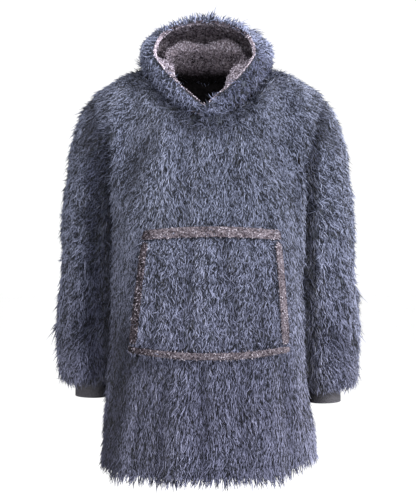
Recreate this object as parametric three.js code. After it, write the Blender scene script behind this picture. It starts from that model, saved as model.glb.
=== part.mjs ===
// A wearable blanket hoodie, filled out as it is when worn: a long shaggy plush pullover with
// dropped shoulders, wide sleeves gathered into knitted cuffs, a pouch pocket edged in short
// plush, and a plush-lined hood whose crown has slumped down inside it.
// Millimetres, +Z up, -Y is the front, +X is the wearer's left. The origin is in the middle of
// the neck, level with the shoulders that the garment hangs on.
import * as THREE from "three";

// Thickness of each kind of cloth, and the gap left between sewn pieces
const FUR_WALL = 10; // backing, plush lining and long pile, laid down
const HOOD_WALL = 8;
const LINING_WALL = 4;
const POCKET_WALL = 7;
const BAND_WALL = 4;
const CUFF_WALL = 3;
const SEAM_GAP = 0.3;
const LINING_GAP = 1; // between the hood and the lining that lies in it

// Heights of the body and the places that its panels are sewn at
const HEM_Z = -845;
const UNDERARM_Z = -255;
const SEAM_Y = 20; // the side and shoulder seams lie a little behind the middle
const NECK_SIDE = { x: 130, z: 8 };
const SHOULDER_TIP = { x: 236, z: -38 };
const UNDERARM = { x: 190, z: UNDERARM_Z };
const ARMHOLE_DEPTH = 98; // half of the armhole, front to back
const SHOULDER_ARCH = 10;
const FRONT_NECK = { y: -118, z: -97 };
const BACK_NECK = { y: 108, z: -2 };
const NECK_CURVE = { drop: 1.25, round: 0.85 }; // powers that shape the neck seam
const NECK_OVAL = 0.9; // how much less the neck's cloth turns in at the front than at the side

// The yoke from the underarm up: flat inside one distance from the middle, round past the other,
// with powers for how a column rises and reaches out in each part
const YOKE = { flat: 30, round: 125, flatReach: 1.4, roundRise: 0.9, roundReach: 0.85, calm: 4 };
const SHOULDER_INWARD = { x: -0.4, z: -0.92 }; // the way into the cloth on top of a shoulder

// The body from the hem to the underarm, before the sleeves press its sides in: half its width,
// and its reach in front of and behind the origin
const BODY_SECTIONS = [
  { z: -845, half: 232, front: 186, back: 170 },
  { z: -790, half: 234, front: 182, back: 166 },
  { z: -700, half: 239, front: 177, back: 158 },
  { z: -640, half: 235, front: 174, back: 155 },
  { z: -560, half: 231, front: 171, back: 150 },
  { z: -440, half: 230, front: 165, back: 144 },
  { z: -340, half: 229, front: 157, back: 140 },
  { z: -255, half: 226, front: 147, back: 136 },
];
const BODY_SQUARENESS = 2.45;

// The hollow that each sleeve lies in, down the side of the body: its depth by height
const SIDE_HOLLOW = [
  { z: -845, depth: 0 },
  { z: -785, depth: 5 },
  { z: -735, depth: 15 },
  { z: -704, depth: 26 },
  { z: -676, depth: 42 },
  { z: -645, depth: 57 },
  { z: -610, depth: 60 },
  { z: -560, depth: 59 },
  { z: -430, depth: 58 },
  { z: -340, depth: 48 },
  { z: -255, depth: 36 },
];
const HOLLOW_MIDDLE_Y = 24;
const HOLLOW_HALF = 94; // half its breadth, front to back
const HOLLOW_SQUARENESS = 3;
const HOLLOW_ROUNDING = 1.3;

// Soft folds of the body: a line from the top point to the low point, half its width, and how
// far it lies in from the panel (a ridge is negative)
const FRONT_FOLDS = [
  { xTop: -160, zTop: -430, xLow: -208, zLow: -740, half: 24, depth: 6 },
  { xTop: -120, zTop: -640, xLow: -140, zLow: -845, half: 34, depth: 7 },
  { xTop: -40, zTop: -660, xLow: -62, zLow: -845, half: 30, depth: -6 },
  { xTop: 28, zTop: -650, xLow: 40, zLow: -845, half: 32, depth: 7 },
  { xTop: 110, zTop: -640, xLow: 128, zLow: -845, half: 32, depth: -7 },
  { xTop: 172, zTop: -300, xLow: 196, zLow: -640, half: 26, depth: 9 },
  { xTop: -150, zTop: -150, xLow: -188, zLow: -400, half: 26, depth: 8 },
  { xTop: 120, zTop: -120, xLow: 168, zLow: -300, half: 28, depth: 7 },
];
const BACK_FOLDS = [
  { xTop: -130, zTop: -200, xLow: -160, zLow: -700, half: 34, depth: 10 },
  { xTop: -70, zTop: -420, xLow: -78, zLow: -845, half: 38, depth: -9 },
  { xTop: -10, zTop: -260, xLow: 4, zLow: -845, half: 36, depth: 9 },
  { xTop: 66, zTop: -380, xLow: 84, zLow: -845, half: 36, depth: -9 },
  { xTop: 128, zTop: -180, xLow: 158, zLow: -760, half: 34, depth: 10 },
];
const FOLD_FADE = 90; // a fold dies out over this length at each end
const FOLD_EDGE = 40; // and over this width beside the side seams

// The sleeve in the plane of the shoulders: its outer and inner outline, half its depth, and how
// far its middle lies back. The last rows turn in under the gathers to the cuff.
const SLEEVE_RINGS = [
  { xOut: 236, zOut: -38, xIn: 190, zIn: -255, depth: 98, y: 20 },
  { xOut: 258, zOut: -58, xIn: 191, zIn: -263, depth: 96, y: 20 },
  { xOut: 276, zOut: -90, xIn: 192, zIn: -273, depth: 92, y: 20 },
  { xOut: 292, zOut: -134, xIn: 191, zIn: -287, depth: 87, y: 21 },
  { xOut: 305, zOut: -184, xIn: 189, zIn: -308, depth: 82, y: 22 },
  { xOut: 314, zOut: -240, xIn: 186, zIn: -338, depth: 78, y: 23 },
  { xOut: 318, zOut: -302, xIn: 182, zIn: -376, depth: 76, y: 24 },
  { xOut: 321, zOut: -370, xIn: 179, zIn: -420, depth: 75, y: 25 },
  { xOut: 325, zOut: -440, xIn: 177, zIn: -470, depth: 74, y: 26 },
  { xOut: 327, zOut: -512, xIn: 177, zIn: -528, depth: 74, y: 26 },
  { xOut: 327, zOut: -582, xIn: 178, zIn: -588, depth: 75, y: 27 },
  { xOut: 325, zOut: -632, xIn: 181, zIn: -634, depth: 75, y: 27 },
  { xOut: 319, zOut: -659, xIn: 189, zIn: -659, depth: 68, y: 28 },
  { xOut: 302, zOut: -672, xIn: 205, zIn: -671, depth: 52, y: 28 },
];
const GATHERS = { count: 14, depth: 3.5, from: 10 }; // pleats at the cuff, and their first ring
// Creases across the sleeve, by ring, angle round it, and how far they press in
const SLEEVE_CREASES = [
  { ring: 2.2, angle: 62, spread: 42, width: 0.9, depth: 7 },
  { ring: 4.4, angle: -48, spread: 50, width: 0.9, depth: 7 },
  { ring: 5.8, angle: 40, spread: 46, width: 0.8, depth: 8 },
  { ring: 7.6, angle: -20, spread: 60, width: 0.8, depth: 6 },
  { ring: 9.2, angle: 95, spread: 50, width: 0.8, depth: 7 },
  { ring: 6.4, angle: 150, spread: 60, width: 0.9, depth: 6 },
  { ring: 8.8, angle: -140, spread: 60, width: 0.8, depth: 7 },
];
const CREASE_RINGS = { none: 0.4, full: 2, fading: 10, gone: 12 }; // where creases start and end
const CREASE_TURN = 25; // degrees by which the right sleeve's creases lie further round
const CUFF = { x: 252, y: 28, radius: 33.5, top: -657, bottom: -706, turn: 5, soft: 0.7 };
const CUFF_MOUTH = { lean: 0.6, depth: 0.8 }; // how the sleeve's wall turns in to meet the cuff
const RIGHT_SLEEVE_SHORTER = 12; // the wearer's right cuff sits this much higher
const SHORTER_RINGS = { from: 2, to: 12 }; // the rings over which that is taken up

// The hood as columns from the neck seam to the edge that frames the face, by their share of the
// way from the middle of the back (0) to the middle of the front (1). rim is where a column ends,
// lift and swing are the handles that round it out at the neck and behind the rim.
const HOOD_COLUMNS = [
  { share: 0.0, rim: [0, -38, 112], lift: [0, 62, 40], swing: [0, 104, 18] },
  { share: 0.17, rim: [54, -42, 104], lift: [20, 56, 40], swing: [40, 92, 18] },
  { share: 0.33, rim: [95, -56, 77], lift: [30, 32, 38], swing: [52, 68, 20] },
  { share: 0.5, rim: [111, -78, 33], lift: [20, 4, 30], swing: [38, 38, 14] },
  { share: 0.62, rim: [93, -98, 3], lift: [14, -8, 18], swing: [28, 10, -4] },
  { share: 0.74, rim: [69, -114, -24], lift: [10, -12, 12], swing: [18, -8, -12] },
  { share: 0.87, rim: [38, -126, -52], lift: [5, -12, 8], swing: [8, -6, -10] },
  { share: 1.0, rim: [3, -132, -82], lift: [1, -7, 4], swing: [1, -2, -5] },
];
const HOOD_LEAN = -7; // the rim stands off centre, towards the wearer's right
const HOOD_RISE = 8; // height of the stand between the neck seam and the first curve
const HOOD_HEART_Z = 30; // the hood's cloth faces away from this height in the middle of the neck

// The hood's lining from the neck seam to the rim: it rises to a soft inner edge, which is the
// slumped crown across the back and the turned out facing beside the neck, and is round there to
// the radius stated, drops to a valley, and lies against the hood from the share of the way, keep
const LINING_COLUMNS = [
  { share: 0.0, edge: [0, 26, 58], radius: 13, valley: [0, 84, 46], keep: 0.5 },
  { share: 0.15, edge: [42, 28, 62], radius: 13, valley: [44, 80, 48], keep: 0.5 },
  { share: 0.28, edge: [70, 28, 48], radius: 11, valley: [82, 66, 40], keep: 0.5 },
  { share: 0.4, edge: [74, 6, 30], radius: 9, valley: [100, 26, 34], keep: 0.55 },
  { share: 0.5, edge: [66, -24, 15], radius: 8, valley: [93, -28, 28], keep: 0.7 },
  { share: 0.62, edge: [54, -58, -6], radius: 7, valley: [72, -70, 2], keep: 0.84 },
  { share: 0.75, edge: [40, -88, -36], radius: 6, valley: [52, -97, -27], keep: 0.92 },
  { share: 0.88, edge: [24, -106, -64], radius: 5, valley: [29, -112, -57], keep: 0.95 },
  { share: 1.0, edge: [3, -115, -90], radius: 4, valley: [3, -119, -86], keep: 0.97 },
];
const EDGE_TURNS = [-30, 25, 80, 135]; // degrees round its inner edge that the lining passes
const EDGE_START = { share: 0.5, out: 0.3, level: 0.25 }; // how it swells from the seam to there
const FACING_NARROWER = { share: 0.45, from: 0.5, to: 0.7 }; // on the wearer's right
const FACING_END = { from: 0.76, to: 0.9 }; // the shares between which the facing runs out
// Rises and dips along the crest of the slumped crown, by signed share (the wearer's left is +)
const ROLL_BUMPS = [
  { share: -0.22, width: 0.08, rise: -7 },
  { share: -0.1, width: 0.05, rise: 3 },
  { share: -0.03, width: 0.045, rise: -6 },
  { share: 0.13, width: 0.06, rise: 5 },
  { share: 0.26, width: 0.07, rise: -8 },
];

// The plush edge round the face: a soft bead laid over the rim of hood and lining
const EDGE_BEAD = { proud: 6, sides: 8, gap: 1, trim: 0.3 };

// The pouch pocket: a trapezoid hung between its top and bottom seams, open at both sides. Its
// back lies standOff from the body at those seams, and handRoom further off halfway down.
const POCKET = {
  top: -338,
  bottom: -588,
  halfTop: 141,
  halfBottom: 167,
  xTop: 8,
  xBottom: 2,
  crown: 8, // the top seam rises this much in its middle
  sag: 14, // and the bottom seam hangs this much lower in its middle
  standOff: 0.8,
  handRoom: 16,
  gape: 22, // more room at its two open sides
  billow: 0.7, // power that makes it swell quickly beside its top and bottom seams
};
const BAND_WIDTH = { top: 22, bottom: 15, side: 17 };

// Numbers of facets
const BODY_COLUMNS = 14; // from the middle of a panel to its side
const NECK_COLUMN = 8; // of those, the ones that end at the neck
const BODY_ROWS = 13; // hem to underarm
const YOKE_ROWS = 9; // underarm to shoulder
const SLEEVE_SIDES = 20;
const HOOD_COLUMN_COUNT = 2 * NECK_COLUMN; // from the middle of the back to the front
const HOOD_ROWS = 8;
const EDGE_ROWS = 14; // of the lining, from the neck seam over its inner edge
const UPPER_ROWS = 8; // and from there to the rim
const LINING_ROWS = EDGE_ROWS + UPPER_ROWS;
const POCKET_COLUMNS = 10; // between its side bands
const POCKET_ROWS = 8; // between its top and bottom bands
const BAND_ROWS = 2;
const SECTION_SAMPLES = 120;

const lerp = THREE.MathUtils.lerp;
const smooth = (low, high, x) => THREE.MathUtils.smoothstep(x, low, high);
const falling = (high, low, x) => 1 - smooth(low, high, x);
const vector = (x, y, z) => new THREE.Vector3(x, y, z);

// The row of a table at a value of its key column, each other column on a smooth curve
function rowAt(table, key, value) {
  const rising = table[table.length - 1][key] > table[0][key];
  const rows = rising ? table : [...table].reverse();
  const at = THREE.MathUtils.clamp(value, rows[0][key], rows[rows.length - 1][key]);
  let i = 0;
  while (i < rows.length - 2 && rows[i + 1][key] < at) i++;
  const [a, b] = [rows[i], rows[i + 1]];
  const before = rows[Math.max(i - 1, 0)];
  const after = rows[Math.min(i + 2, rows.length - 1)];
  const span = b[key] - a[key];
  const t = (at - a[key]) / span;
  const curve = (p, q, r, s) => {
    const out = ((r - p) / (b[key] - before[key] || span)) * span;
    const back = ((s - q) / (after[key] - a[key] || span)) * span;
    return (
      (2 * t ** 3 - 3 * t ** 2 + 1) * q +
      (t ** 3 - 2 * t ** 2 + t) * out +
      (-2 * t ** 3 + 3 * t ** 2) * r +
      (t ** 3 - t ** 2) * back
    );
  };
  const made = {};
  for (const name of Object.keys(a)) {
    made[name] = Array.isArray(a[name])
      ? a[name].map((_, k) => curve(before[name][k], a[name][k], b[name][k], after[name][k]))
      : curve(before[name], a[name], b[name], after[name]);
  }
  return made;
}

// How far the folds of a panel lie in at a point of it
function foldDepth(folds, x, z) {
  let depth = 0;
  for (const fold of folds) {
    const along = THREE.MathUtils.clamp((z - fold.zTop) / (fold.zLow - fold.zTop), 0, 1);
    const beside = (x - lerp(fold.xTop, fold.xLow, along)) / fold.half;
    const started = falling(fold.zTop + FOLD_FADE, fold.zTop - FOLD_FADE, z);
    const ends = fold.zLow <= HEM_Z ? 1 : smooth(fold.zLow - FOLD_FADE, fold.zLow + FOLD_FADE, z);
    depth += fold.depth * Math.exp(-(beside ** 2)) * started * ends;
  }
  return depth;
}

// The front or back of the body as a distance from the side seams, at a place across it
function panelReach(x, z, isFront) {
  const row = rowAt(BODY_SECTIONS, "z", z);
  const share = Math.min(1, Math.abs(x) / row.half);
  const full = isFront ? row.front + SEAM_Y : row.back - SEAM_Y;
  const round = (1 - share ** BODY_SQUARENESS) ** (1 / BODY_SQUARENESS);
  const inside = smooth(0, FOLD_EDGE, row.half - Math.abs(x));
  const folds = isFront ? FRONT_FOLDS : BACK_FOLDS;
  return full * round - foldDepth(folds, x, z) * inside * round;
}

// How far in the side of the body lies where a sleeve hangs beside it
function hollowDepth(y, z) {
  const { depth } = rowAt(SIDE_HOLLOW, "z", z);
  const beside = Math.min(1, Math.abs(y - HOLLOW_MIDDLE_Y) / HOLLOW_HALF);
  return depth * (1 - beside ** HOLLOW_SQUARENESS) ** HOLLOW_ROUNDING;
}

// Half of a panel's level section from its middle to the side seam, as evenly spaced points
function halfSection(z, side, isFront, count) {
  const samples = [];
  const { half } = rowAt(BODY_SECTIONS, "z", z);
  for (let k = 0; k <= SECTION_SAMPLES; k++) {
    const turn = (k / SECTION_SAMPLES) * (Math.PI / 2);
    const x = side * half * Math.sin(turn) ** (2 / BODY_SQUARENESS);
    const reach = k === SECTION_SAMPLES ? 0 : panelReach(x, z, isFront);
    const y = SEAM_Y + (isFront ? -reach : reach);
    const outward = smooth(half - 2 * HOLLOW_HALF, half - HOLLOW_HALF / 3, Math.abs(x));
    samples.push(vector(x - side * hollowDepth(y, z) * outward, y, z));
  }
  return evenly(samples, count);
}

// The same path again as count + 1 evenly spaced points
function evenly(points, count) {
  const lengths = [0];
  for (let k = 1; k < points.length; k++)
    lengths.push(lengths[k - 1] + points[k].distanceTo(points[k - 1]));
  const total = lengths[points.length - 1];
  const spaced = [];
  for (let j = 0, k = 1; j <= count; j++) {
    const at = (total * j) / count;
    while (k < points.length - 1 && lengths[k] < at) k++;
    const t = (at - lengths[k - 1]) / (lengths[k] - lengths[k - 1]);
    spaced.push(points[k - 1].clone().lerp(points[k], THREE.MathUtils.clamp(t, 0, 1)));
  }
  return spaced;
}

// A point of the neck seam on one side, by its angle from the middle of the front or back
function neckSeam(angle, side, isFront) {
  const middle = isFront ? FRONT_NECK : BACK_NECK;
  const across = NECK_SIDE.x * Math.sin(angle);
  const out = Math.max(0, Math.cos(angle));
  const z = lerp(NECK_SIDE.z, middle.z, out ** NECK_CURVE.drop);
  return vector(side * across, lerp(SEAM_Y, middle.y, out ** NECK_CURVE.round), z);
}

// The armhole of one side, by its angle from the shoulder tip (0) to the underarm (PI)
function armhole(angle, side, isFront) {
  const share = (1 + Math.cos(angle)) / 2;
  const y = SEAM_Y + (isFront ? -1 : 1) * ARMHOLE_DEPTH * Math.sin(angle);
  const x = lerp(UNDERARM.x, SHOULDER_TIP.x, share);
  return vector(side * x, y, lerp(UNDERARM.z, SHOULDER_TIP.z, share));
}

// A quarter of the neck seam as evenly spaced points, from the middle to the shoulder seam
function neckQuarter(side, isFront) {
  const neck = [];
  for (let k = 0; k <= SECTION_SAMPLES; k++)
    neck.push(neckSeam((k / SECTION_SAMPLES) * (Math.PI / 2), side, isFront));
  return evenly(neck, NECK_COLUMN);
}

// The top edge of half a panel: the neck, then the shoulder seam out to the armhole
function topEdge(side, isFront) {
  const edge = neckQuarter(side, isFront);
  const count = BODY_COLUMNS - NECK_COLUMN;
  for (let k = 1; k <= count; k++) {
    const share = k / count;
    const arch = SHOULDER_ARCH * Math.sin(Math.PI * share);
    const x = side * lerp(NECK_SIDE.x, SHOULDER_TIP.x, share);
    edge.push(vector(x, SEAM_Y, lerp(NECK_SIDE.z, SHOULDER_TIP.z, share) + arch));
  }
  return edge;
}

// Half of the yoke of a panel: rows from the underarm's section up to the top edge
function yokeRows(side, isFront) {
  const low = halfSection(UNDERARM_Z, side, isFront, BODY_COLUMNS);
  const top = topEdge(side, isFront);
  const rows = [];
  for (let i = 1; i <= YOKE_ROWS; i++) {
    const t = i / YOKE_ROWS;
    const turn = (t * Math.PI) / 2;
    const row = low.map((start, j) => {
      const end = top[j];
      const round = smooth(YOKE.flat, YOKE.round, Math.abs(end.x));
      const rise = lerp(t, Math.sin(turn) ** YOKE.roundRise, round);
      const reach = lerp(1 - t ** YOKE.flatReach, Math.cos(turn) ** YOKE.roundReach, round);
      const x = lerp(start.x, end.x, t);
      const z = lerp(start.z, end.z, rise);
      const folds = foldDepth(isFront ? FRONT_FOLDS : BACK_FOLDS, x, z) * reach;
      const calm = Math.min(1, (BODY_COLUMNS - j) / YOKE.calm) * Math.min(1, 2 * (1 - t));
      const y = lerp(end.y, start.y, reach) + (isFront ? folds : -folds) * calm;
      return vector(x, y, z);
    });
    const edge = armhole(Math.PI * (1 - t), side, isFront);
    const shift = edge.clone().sub(row[BODY_COLUMNS]);
    row.forEach((point, j) => point.addScaledVector(shift, smooth(0.5, 1, j / BODY_COLUMNS)));
    rows.push(row);
  }
  return rows;
}

// A whole panel of the body as rows of points from the wearer's right to left, hem first
function bodyPanel(isFront) {
  const rows = [];
  for (let i = 0; i <= BODY_ROWS; i++) {
    const z = lerp(HEM_Z, UNDERARM_Z, i / BODY_ROWS);
    const [right, left] = [-1, 1].map((side) => halfSection(z, side, isFront, BODY_COLUMNS));
    rows.push([...right.reverse(), ...left.slice(1)]);
  }
  const [right, left] = [-1, 1].map((side) => yokeRows(side, isFront));
  right.forEach((row, i) => rows.push([...row.reverse(), ...left[i].slice(1)]));
  return rows;
}

// Unit normals of rows of points, all to one side. closed rows run round and meet.
function normals(rows, closed) {
  return rows.map((row, i) =>
    row.map((_, j) => {
      const last = row.length - 1;
      const before = closed ? row[(j + last) % row.length] : row[Math.max(j - 1, 0)];
      const after = closed ? row[(j + 1) % row.length] : row[Math.min(j + 1, last)];
      const under = rows[Math.max(i - 1, 0)][j];
      const over = rows[Math.min(i + 1, rows.length - 1)][j];
      return after.clone().sub(before).cross(over.clone().sub(under)).normalize();
    }),
  );
}

// The rows moved by a distance along directions
function moved(rows, directions, distance) {
  return rows.map((row, i) =>
    row.map((point, j) => point.clone().addScaledVector(directions[i][j], distance)),
  );
}

// A closed solid between two sheets of the same rows and columns
function wall(outer, inner, closed = false) {
  const [rowCount, columnCount] = [outer.length, outer[0].length];
  const positions = [];
  for (const sheet of [outer, inner])
    for (const row of sheet) for (const point of row) positions.push(point.x, point.y, point.z);
  const at = (sheet, i, j) => (sheet * rowCount + i) * columnCount + (j % columnCount);
  const faces = [];
  const quad = (a, b, c, d) => faces.push(a, b, c, a, c, d);
  const spans = closed ? columnCount : columnCount - 1;
  for (let i = 0; i < rowCount - 1; i++)
    for (let j = 0; j < spans; j++) {
      quad(at(0, i, j), at(0, i, j + 1), at(0, i + 1, j + 1), at(0, i + 1, j));
      quad(at(1, i, j), at(1, i + 1, j), at(1, i + 1, j + 1), at(1, i, j + 1));
    }
  const top = rowCount - 1;
  for (let j = 0; j < spans; j++) {
    quad(at(1, 0, j), at(1, 0, j + 1), at(0, 0, j + 1), at(0, 0, j));
    quad(at(0, top, j), at(0, top, j + 1), at(1, top, j + 1), at(1, top, j));
  }
  const end = columnCount - 1;
  for (let i = 0; i < rowCount - 1 && !closed; i++) {
    quad(at(0, i, 0), at(0, i + 1, 0), at(1, i + 1, 0), at(1, i, 0));
    quad(at(0, i, end), at(1, i, end), at(1, i + 1, end), at(0, i + 1, end));
  }
  if (signedVolume(positions, faces) < 0)
    for (let f = 0; f < faces.length; f += 3)
      [faces[f + 1], faces[f + 2]] = [faces[f + 2], faces[f + 1]];
  const geometry = new THREE.BufferGeometry();
  geometry.setAttribute("position", new THREE.Float32BufferAttribute(positions, 3));
  geometry.setIndex(faces);
  geometry.computeVertexNormals();
  return geometry;
}

// Six times the volume inside a closed mesh, negative where it is inside out
function signedVolume(positions, faces) {
  const corner = (index) => vector(...positions.slice(3 * index, 3 * index + 3));
  let total = 0;
  for (let f = 0; f < faces.length; f += 3)
    total += corner(faces[f]).dot(corner(faces[f + 1]).cross(corner(faces[f + 2])));
  return total;
}

// Directions into the cloth for a body panel: in from its face, but along the seams the way
// that the neighbouring piece's edge lies too
function bodyInward(rows, isFront) {
  const inward = normals(rows, false);
  const facing = isFront ? -1 : 1;
  const turn = inward[0][BODY_COLUMNS].y * facing > 0 ? -1 : 1;
  for (const row of inward) for (const way of row) way.multiplyScalar(turn);
  rows.forEach((row, i) => {
    for (const j of [0, row.length - 1]) {
      const side = Math.sign(row[j].x);
      if (i < BODY_ROWS) inward[i][j].set(-side, 0, 0);
      else inward[i][j].copy(armholeMiddle(side)).sub(row[j]).normalize();
    }
  });
  const top = rows.length - 1;
  rows[top].forEach((point, j) => {
    const side = Math.sign(point.x);
    const beyond = Math.abs(j - BODY_COLUMNS) - NECK_COLUMN;
    if (beyond <= 0) inward[top][j].copy(towardsNeck(point));
    else if (j > 0 && j < rows[top].length - 1) {
      const tip = armholeMiddle(side).sub(armhole(0, side, true)).normalize();
      const share = beyond / (BODY_COLUMNS - NECK_COLUMN);
      const down = vector(side * SHOULDER_INWARD.x, 0, SHOULDER_INWARD.z);
      inward[top][j].copy(down.lerp(tip, share)).normalize();
    }
  });
  return inward;
}

function armholeMiddle(side) {
  const x = (side * (UNDERARM.x + SHOULDER_TIP.x)) / 2;
  return vector(x, SEAM_Y, (UNDERARM.z + SHOULDER_TIP.z) / 2);
}

function towardsNeck(point) {
  return vector(-point.x, -(point.y - SEAM_Y) * NECK_OVAL, 0).normalize();
}

// A body panel, drawn back from the seams that it shares with the other panel
function bodyMesh(isFront) {
  const rows = bodyPanel(isFront);
  const inner = moved(rows, bodyInward(rows, isFront), FUR_WALL);
  const back = ((isFront ? -1 : 1) * SEAM_GAP) / 2;
  for (const sheet of [rows, inner]) {
    sheet.forEach((row) => row.forEach((point) => {
      const overlap = isFront ? point.y > SEAM_Y + back : point.y < SEAM_Y + back;
      if (overlap || Math.abs(point.y - SEAM_Y) < SEAM_GAP / 2) point.y = SEAM_Y + back;
    }));
  }
  return wall(rows, inner);
}

// A ring of a sleeve: an oval through its outer and inner outline
function sleeveRing(index, side) {
  const table = SLEEVE_RINGS.map((row, k) => ({ ...row, ring: k }));
  const row = rowAt(table, "ring", index);
  const { from, to } = SHORTER_RINGS;
  const shorter = side < 0 ? RIGHT_SLEEVE_SHORTER * smooth(from, to, index) : 0;
  const pleats = GATHERS.depth * smooth(GATHERS.from, SLEEVE_RINGS.length - 1, index);
  const ring = [];
  for (let k = 0; k < SLEEVE_SIDES; k++) {
    const angle = (k / SLEEVE_SIDES) * 2 * Math.PI;
    const share = (1 + Math.cos(angle)) / 2;
    const press = creaseDepth(index, angle, side) + pleats * Math.cos(GATHERS.count * angle);
    const middle = vector(side * (row.xOut + row.xIn) / 2, row.y, (row.zOut + row.zIn) / 2 + shorter);
    const x = side * lerp(row.xIn, row.xOut, share);
    const z = lerp(row.zIn, row.zOut, share) + shorter;
    const point = vector(x, row.y - row.depth * Math.sin(angle), z);
    const size = point.distanceTo(middle);
    ring.push(point.lerp(middle, index > 0 ? press / size : 0));
  }
  return ring;
}

// How far the sleeve's creases press in at a place of it
function creaseDepth(index, angle, side) {
  const degrees = THREE.MathUtils.radToDeg(angle);
  let depth = 0;
  for (const crease of SLEEVE_CREASES) {
    const turned = side < 0 ? crease.angle + CREASE_TURN : crease.angle;
    const away = THREE.MathUtils.euclideanModulo(degrees - turned + 180, 360) - 180;
    const tilted = (index - crease.ring - away / 90) / crease.width;
    depth += crease.depth * Math.exp(-(tilted ** 2) - (away / crease.spread) ** 2);
  }
  const { none, full, fading, gone } = CREASE_RINGS;
  return depth * smooth(none, full, index) * falling(gone, fading, index);
}

// A sleeve: rings from the armhole down, turned in at the end to the cuff's seam
function sleeveMesh(side) {
  const shorter = side < 0 ? RIGHT_SLEEVE_SHORTER : 0;
  const last = SLEEVE_RINGS.length - 1;
  const rings = [];
  const middles = [];
  for (let k = 0; k <= last; k++) {
    const row = SLEEVE_RINGS[k];
    rings.push(sleeveRing(k, side));
    middles.push(vector((side * (row.xOut + row.xIn)) / 2, row.y, (row.zOut + row.zIn) / 2));
  }
  const apart = vector(side, 0, -0.2).normalize().multiplyScalar(SEAM_GAP);
  rings[0].forEach((point) => point.add(apart));
  const inward = normals(rings, true);
  inward.forEach((row, i) => row.forEach((way, j) => {
    const shift = i > SHORTER_RINGS.from ? shorter : 0;
    const into = middles[i].clone().add(vector(0, 0, shift)).sub(rings[i][j]).normalize();
    if (way.dot(into) < 0) way.negate();
    if (i === 0) way.copy(into);
    if (i === last) way.lerp(vector(0, 0, 1), CUFF_MOUTH.lean).normalize();
  }));
  const inner = moved(rings, inward, FUR_WALL);
  const hole = CUFF.radius + SEAM_GAP;
  const end = SLEEVE_RINGS[last].zOut + shorter + 1;
  rings.push(circle(side * CUFF.x, CUFF.y, hole, end, SLEEVE_SIDES, side));
  const above = end + FUR_WALL * CUFF_MOUTH.depth;
  inner.push(circle(side * CUFF.x, CUFF.y, hole, above, SLEEVE_SIDES, side));
  return wall(rings, inner, true);
}

// A level ring of points, counted from the outer side of the sleeve towards the front
function circle(x, y, radius, z, count, side) {
  const ring = [];
  for (let k = 0; k < count; k++) {
    const angle = (k / count) * 2 * Math.PI;
    ring.push(vector(x + side * radius * Math.cos(angle), y - radius * Math.sin(angle), z));
  }
  return ring;
}

// A knitted cuff: a double tube, turned back on itself at its lower edge
function cuffMesh(side) {
  const shorter = side < 0 ? RIGHT_SLEEVE_SHORTER : 0;
  const { top, bottom, turn, radius, soft } = CUFF;
  const levels = [
    { z: top, out: 0, in: CUFF_WALL },
    { z: (top + bottom) / 2, out: soft, in: CUFF_WALL + soft },
    { z: bottom + turn, out: 0, in: CUFF_WALL },
    { z: bottom + turn / 3, out: -soft, in: CUFF_WALL },
    { z: bottom, out: soft, in: CUFF_WALL - soft },
  ];
  const sheet = (inset) =>
    levels.map((level) =>
      circle(side * CUFF.x, CUFF.y, radius - level[inset], level.z + shorter, SLEEVE_SIDES, side),
    );
  return wall(sheet("out"), sheet("in"), true);
}

// One column of the hood's outer face, from its place on the neck seam to the rim
function hoodColumn(share, neckPoint, side) {
  const row = rowAt(HOOD_COLUMNS, "share", share);
  const apart = share === 1 ? SEAM_GAP / 2 : 0;
  const neck = vector(side * Math.max(Math.abs(neckPoint.x), apart), neckPoint.y, neckPoint.z);
  neck.z += SEAM_GAP;
  const rim = vector(side * row.rim[0] + HOOD_LEAN, row.rim[1], row.rim[2]);
  const lift = vector(side * row.lift[0], row.lift[1], row.lift[2] + HOOD_RISE * (1 - share));
  const swing = vector(side * row.swing[0], row.swing[1], row.swing[2]);
  return new THREE.CubicBezierCurve3(neck, neck.clone().add(lift), rim.clone().add(swing), rim);
}

// The hood's outer face as rows of points, from the front of one side round to the other
function hoodRows() {
  const columns = [];
  for (let k = -HOOD_COLUMN_COUNT; k <= HOOD_COLUMN_COUNT; k++) {
    const [side, step] = [k < 0 ? -1 : 1, Math.abs(k)];
    const isFront = step > NECK_COLUMN;
    const place = neckQuarter(side, isFront)[isFront ? HOOD_COLUMN_COUNT - step : step];
    columns.push(hoodColumn(step / HOOD_COLUMN_COUNT, place, side).getSpacedPoints(HOOD_ROWS));
  }
  const rows = [];
  for (let i = 0; i <= HOOD_ROWS; i++) rows.push(columns.map((column) => column[i]));
  return rows;
}

// Directions from the hood's face to its inside, level at the neck seam
function hoodInward(rows) {
  const inward = normals(rows, false);
  const heart = vector(0, SEAM_Y, HOOD_HEART_Z);
  inward.forEach((row, i) => row.forEach((way, j) => {
    if (way.dot(heart.clone().sub(rows[i][j])) < 0) way.negate();
    if (i === 0) way.copy(towardsNeck(rows[i][j]));
    if (j % HOOD_COLUMN_COUNT === 0) way.setX(0).normalize();
  }));
  return inward;
}

// Half of rows that run from side to side, with half a seam's gap left at the middle
function halfOf(rows, side) {
  return rows.map((row) => {
    const middle = (row.length - 1) / 2;
    const half = side < 0 ? row.slice(0, middle + 1) : row.slice(middle);
    return half.map((point, j) => {
      const atSeam = j === (side < 0 ? middle : 0);
      const copy = point.clone();
      if (atSeam) copy.x += (side * SEAM_GAP) / 2;
      return copy;
    });
  });
}

// The lining's face: inside the hood's wall, with the slumped roll across the back
function liningRows(hoodInside) {
  const columnCount = hoodInside[0].length;
  const columns = [];
  for (let j = 0; j < columnCount; j++) {
    const signed = (j - HOOD_COLUMN_COUNT) / HOOD_COLUMN_COUNT;
    const points = hoodInside.map((row) => row[j]);
    columns.push(liningColumn(points, signed));
  }
  const rows = [];
  for (let i = 0; i <= LINING_ROWS; i++) rows.push(columns.map((column) => column[i]));
  return rows;
}

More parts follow.
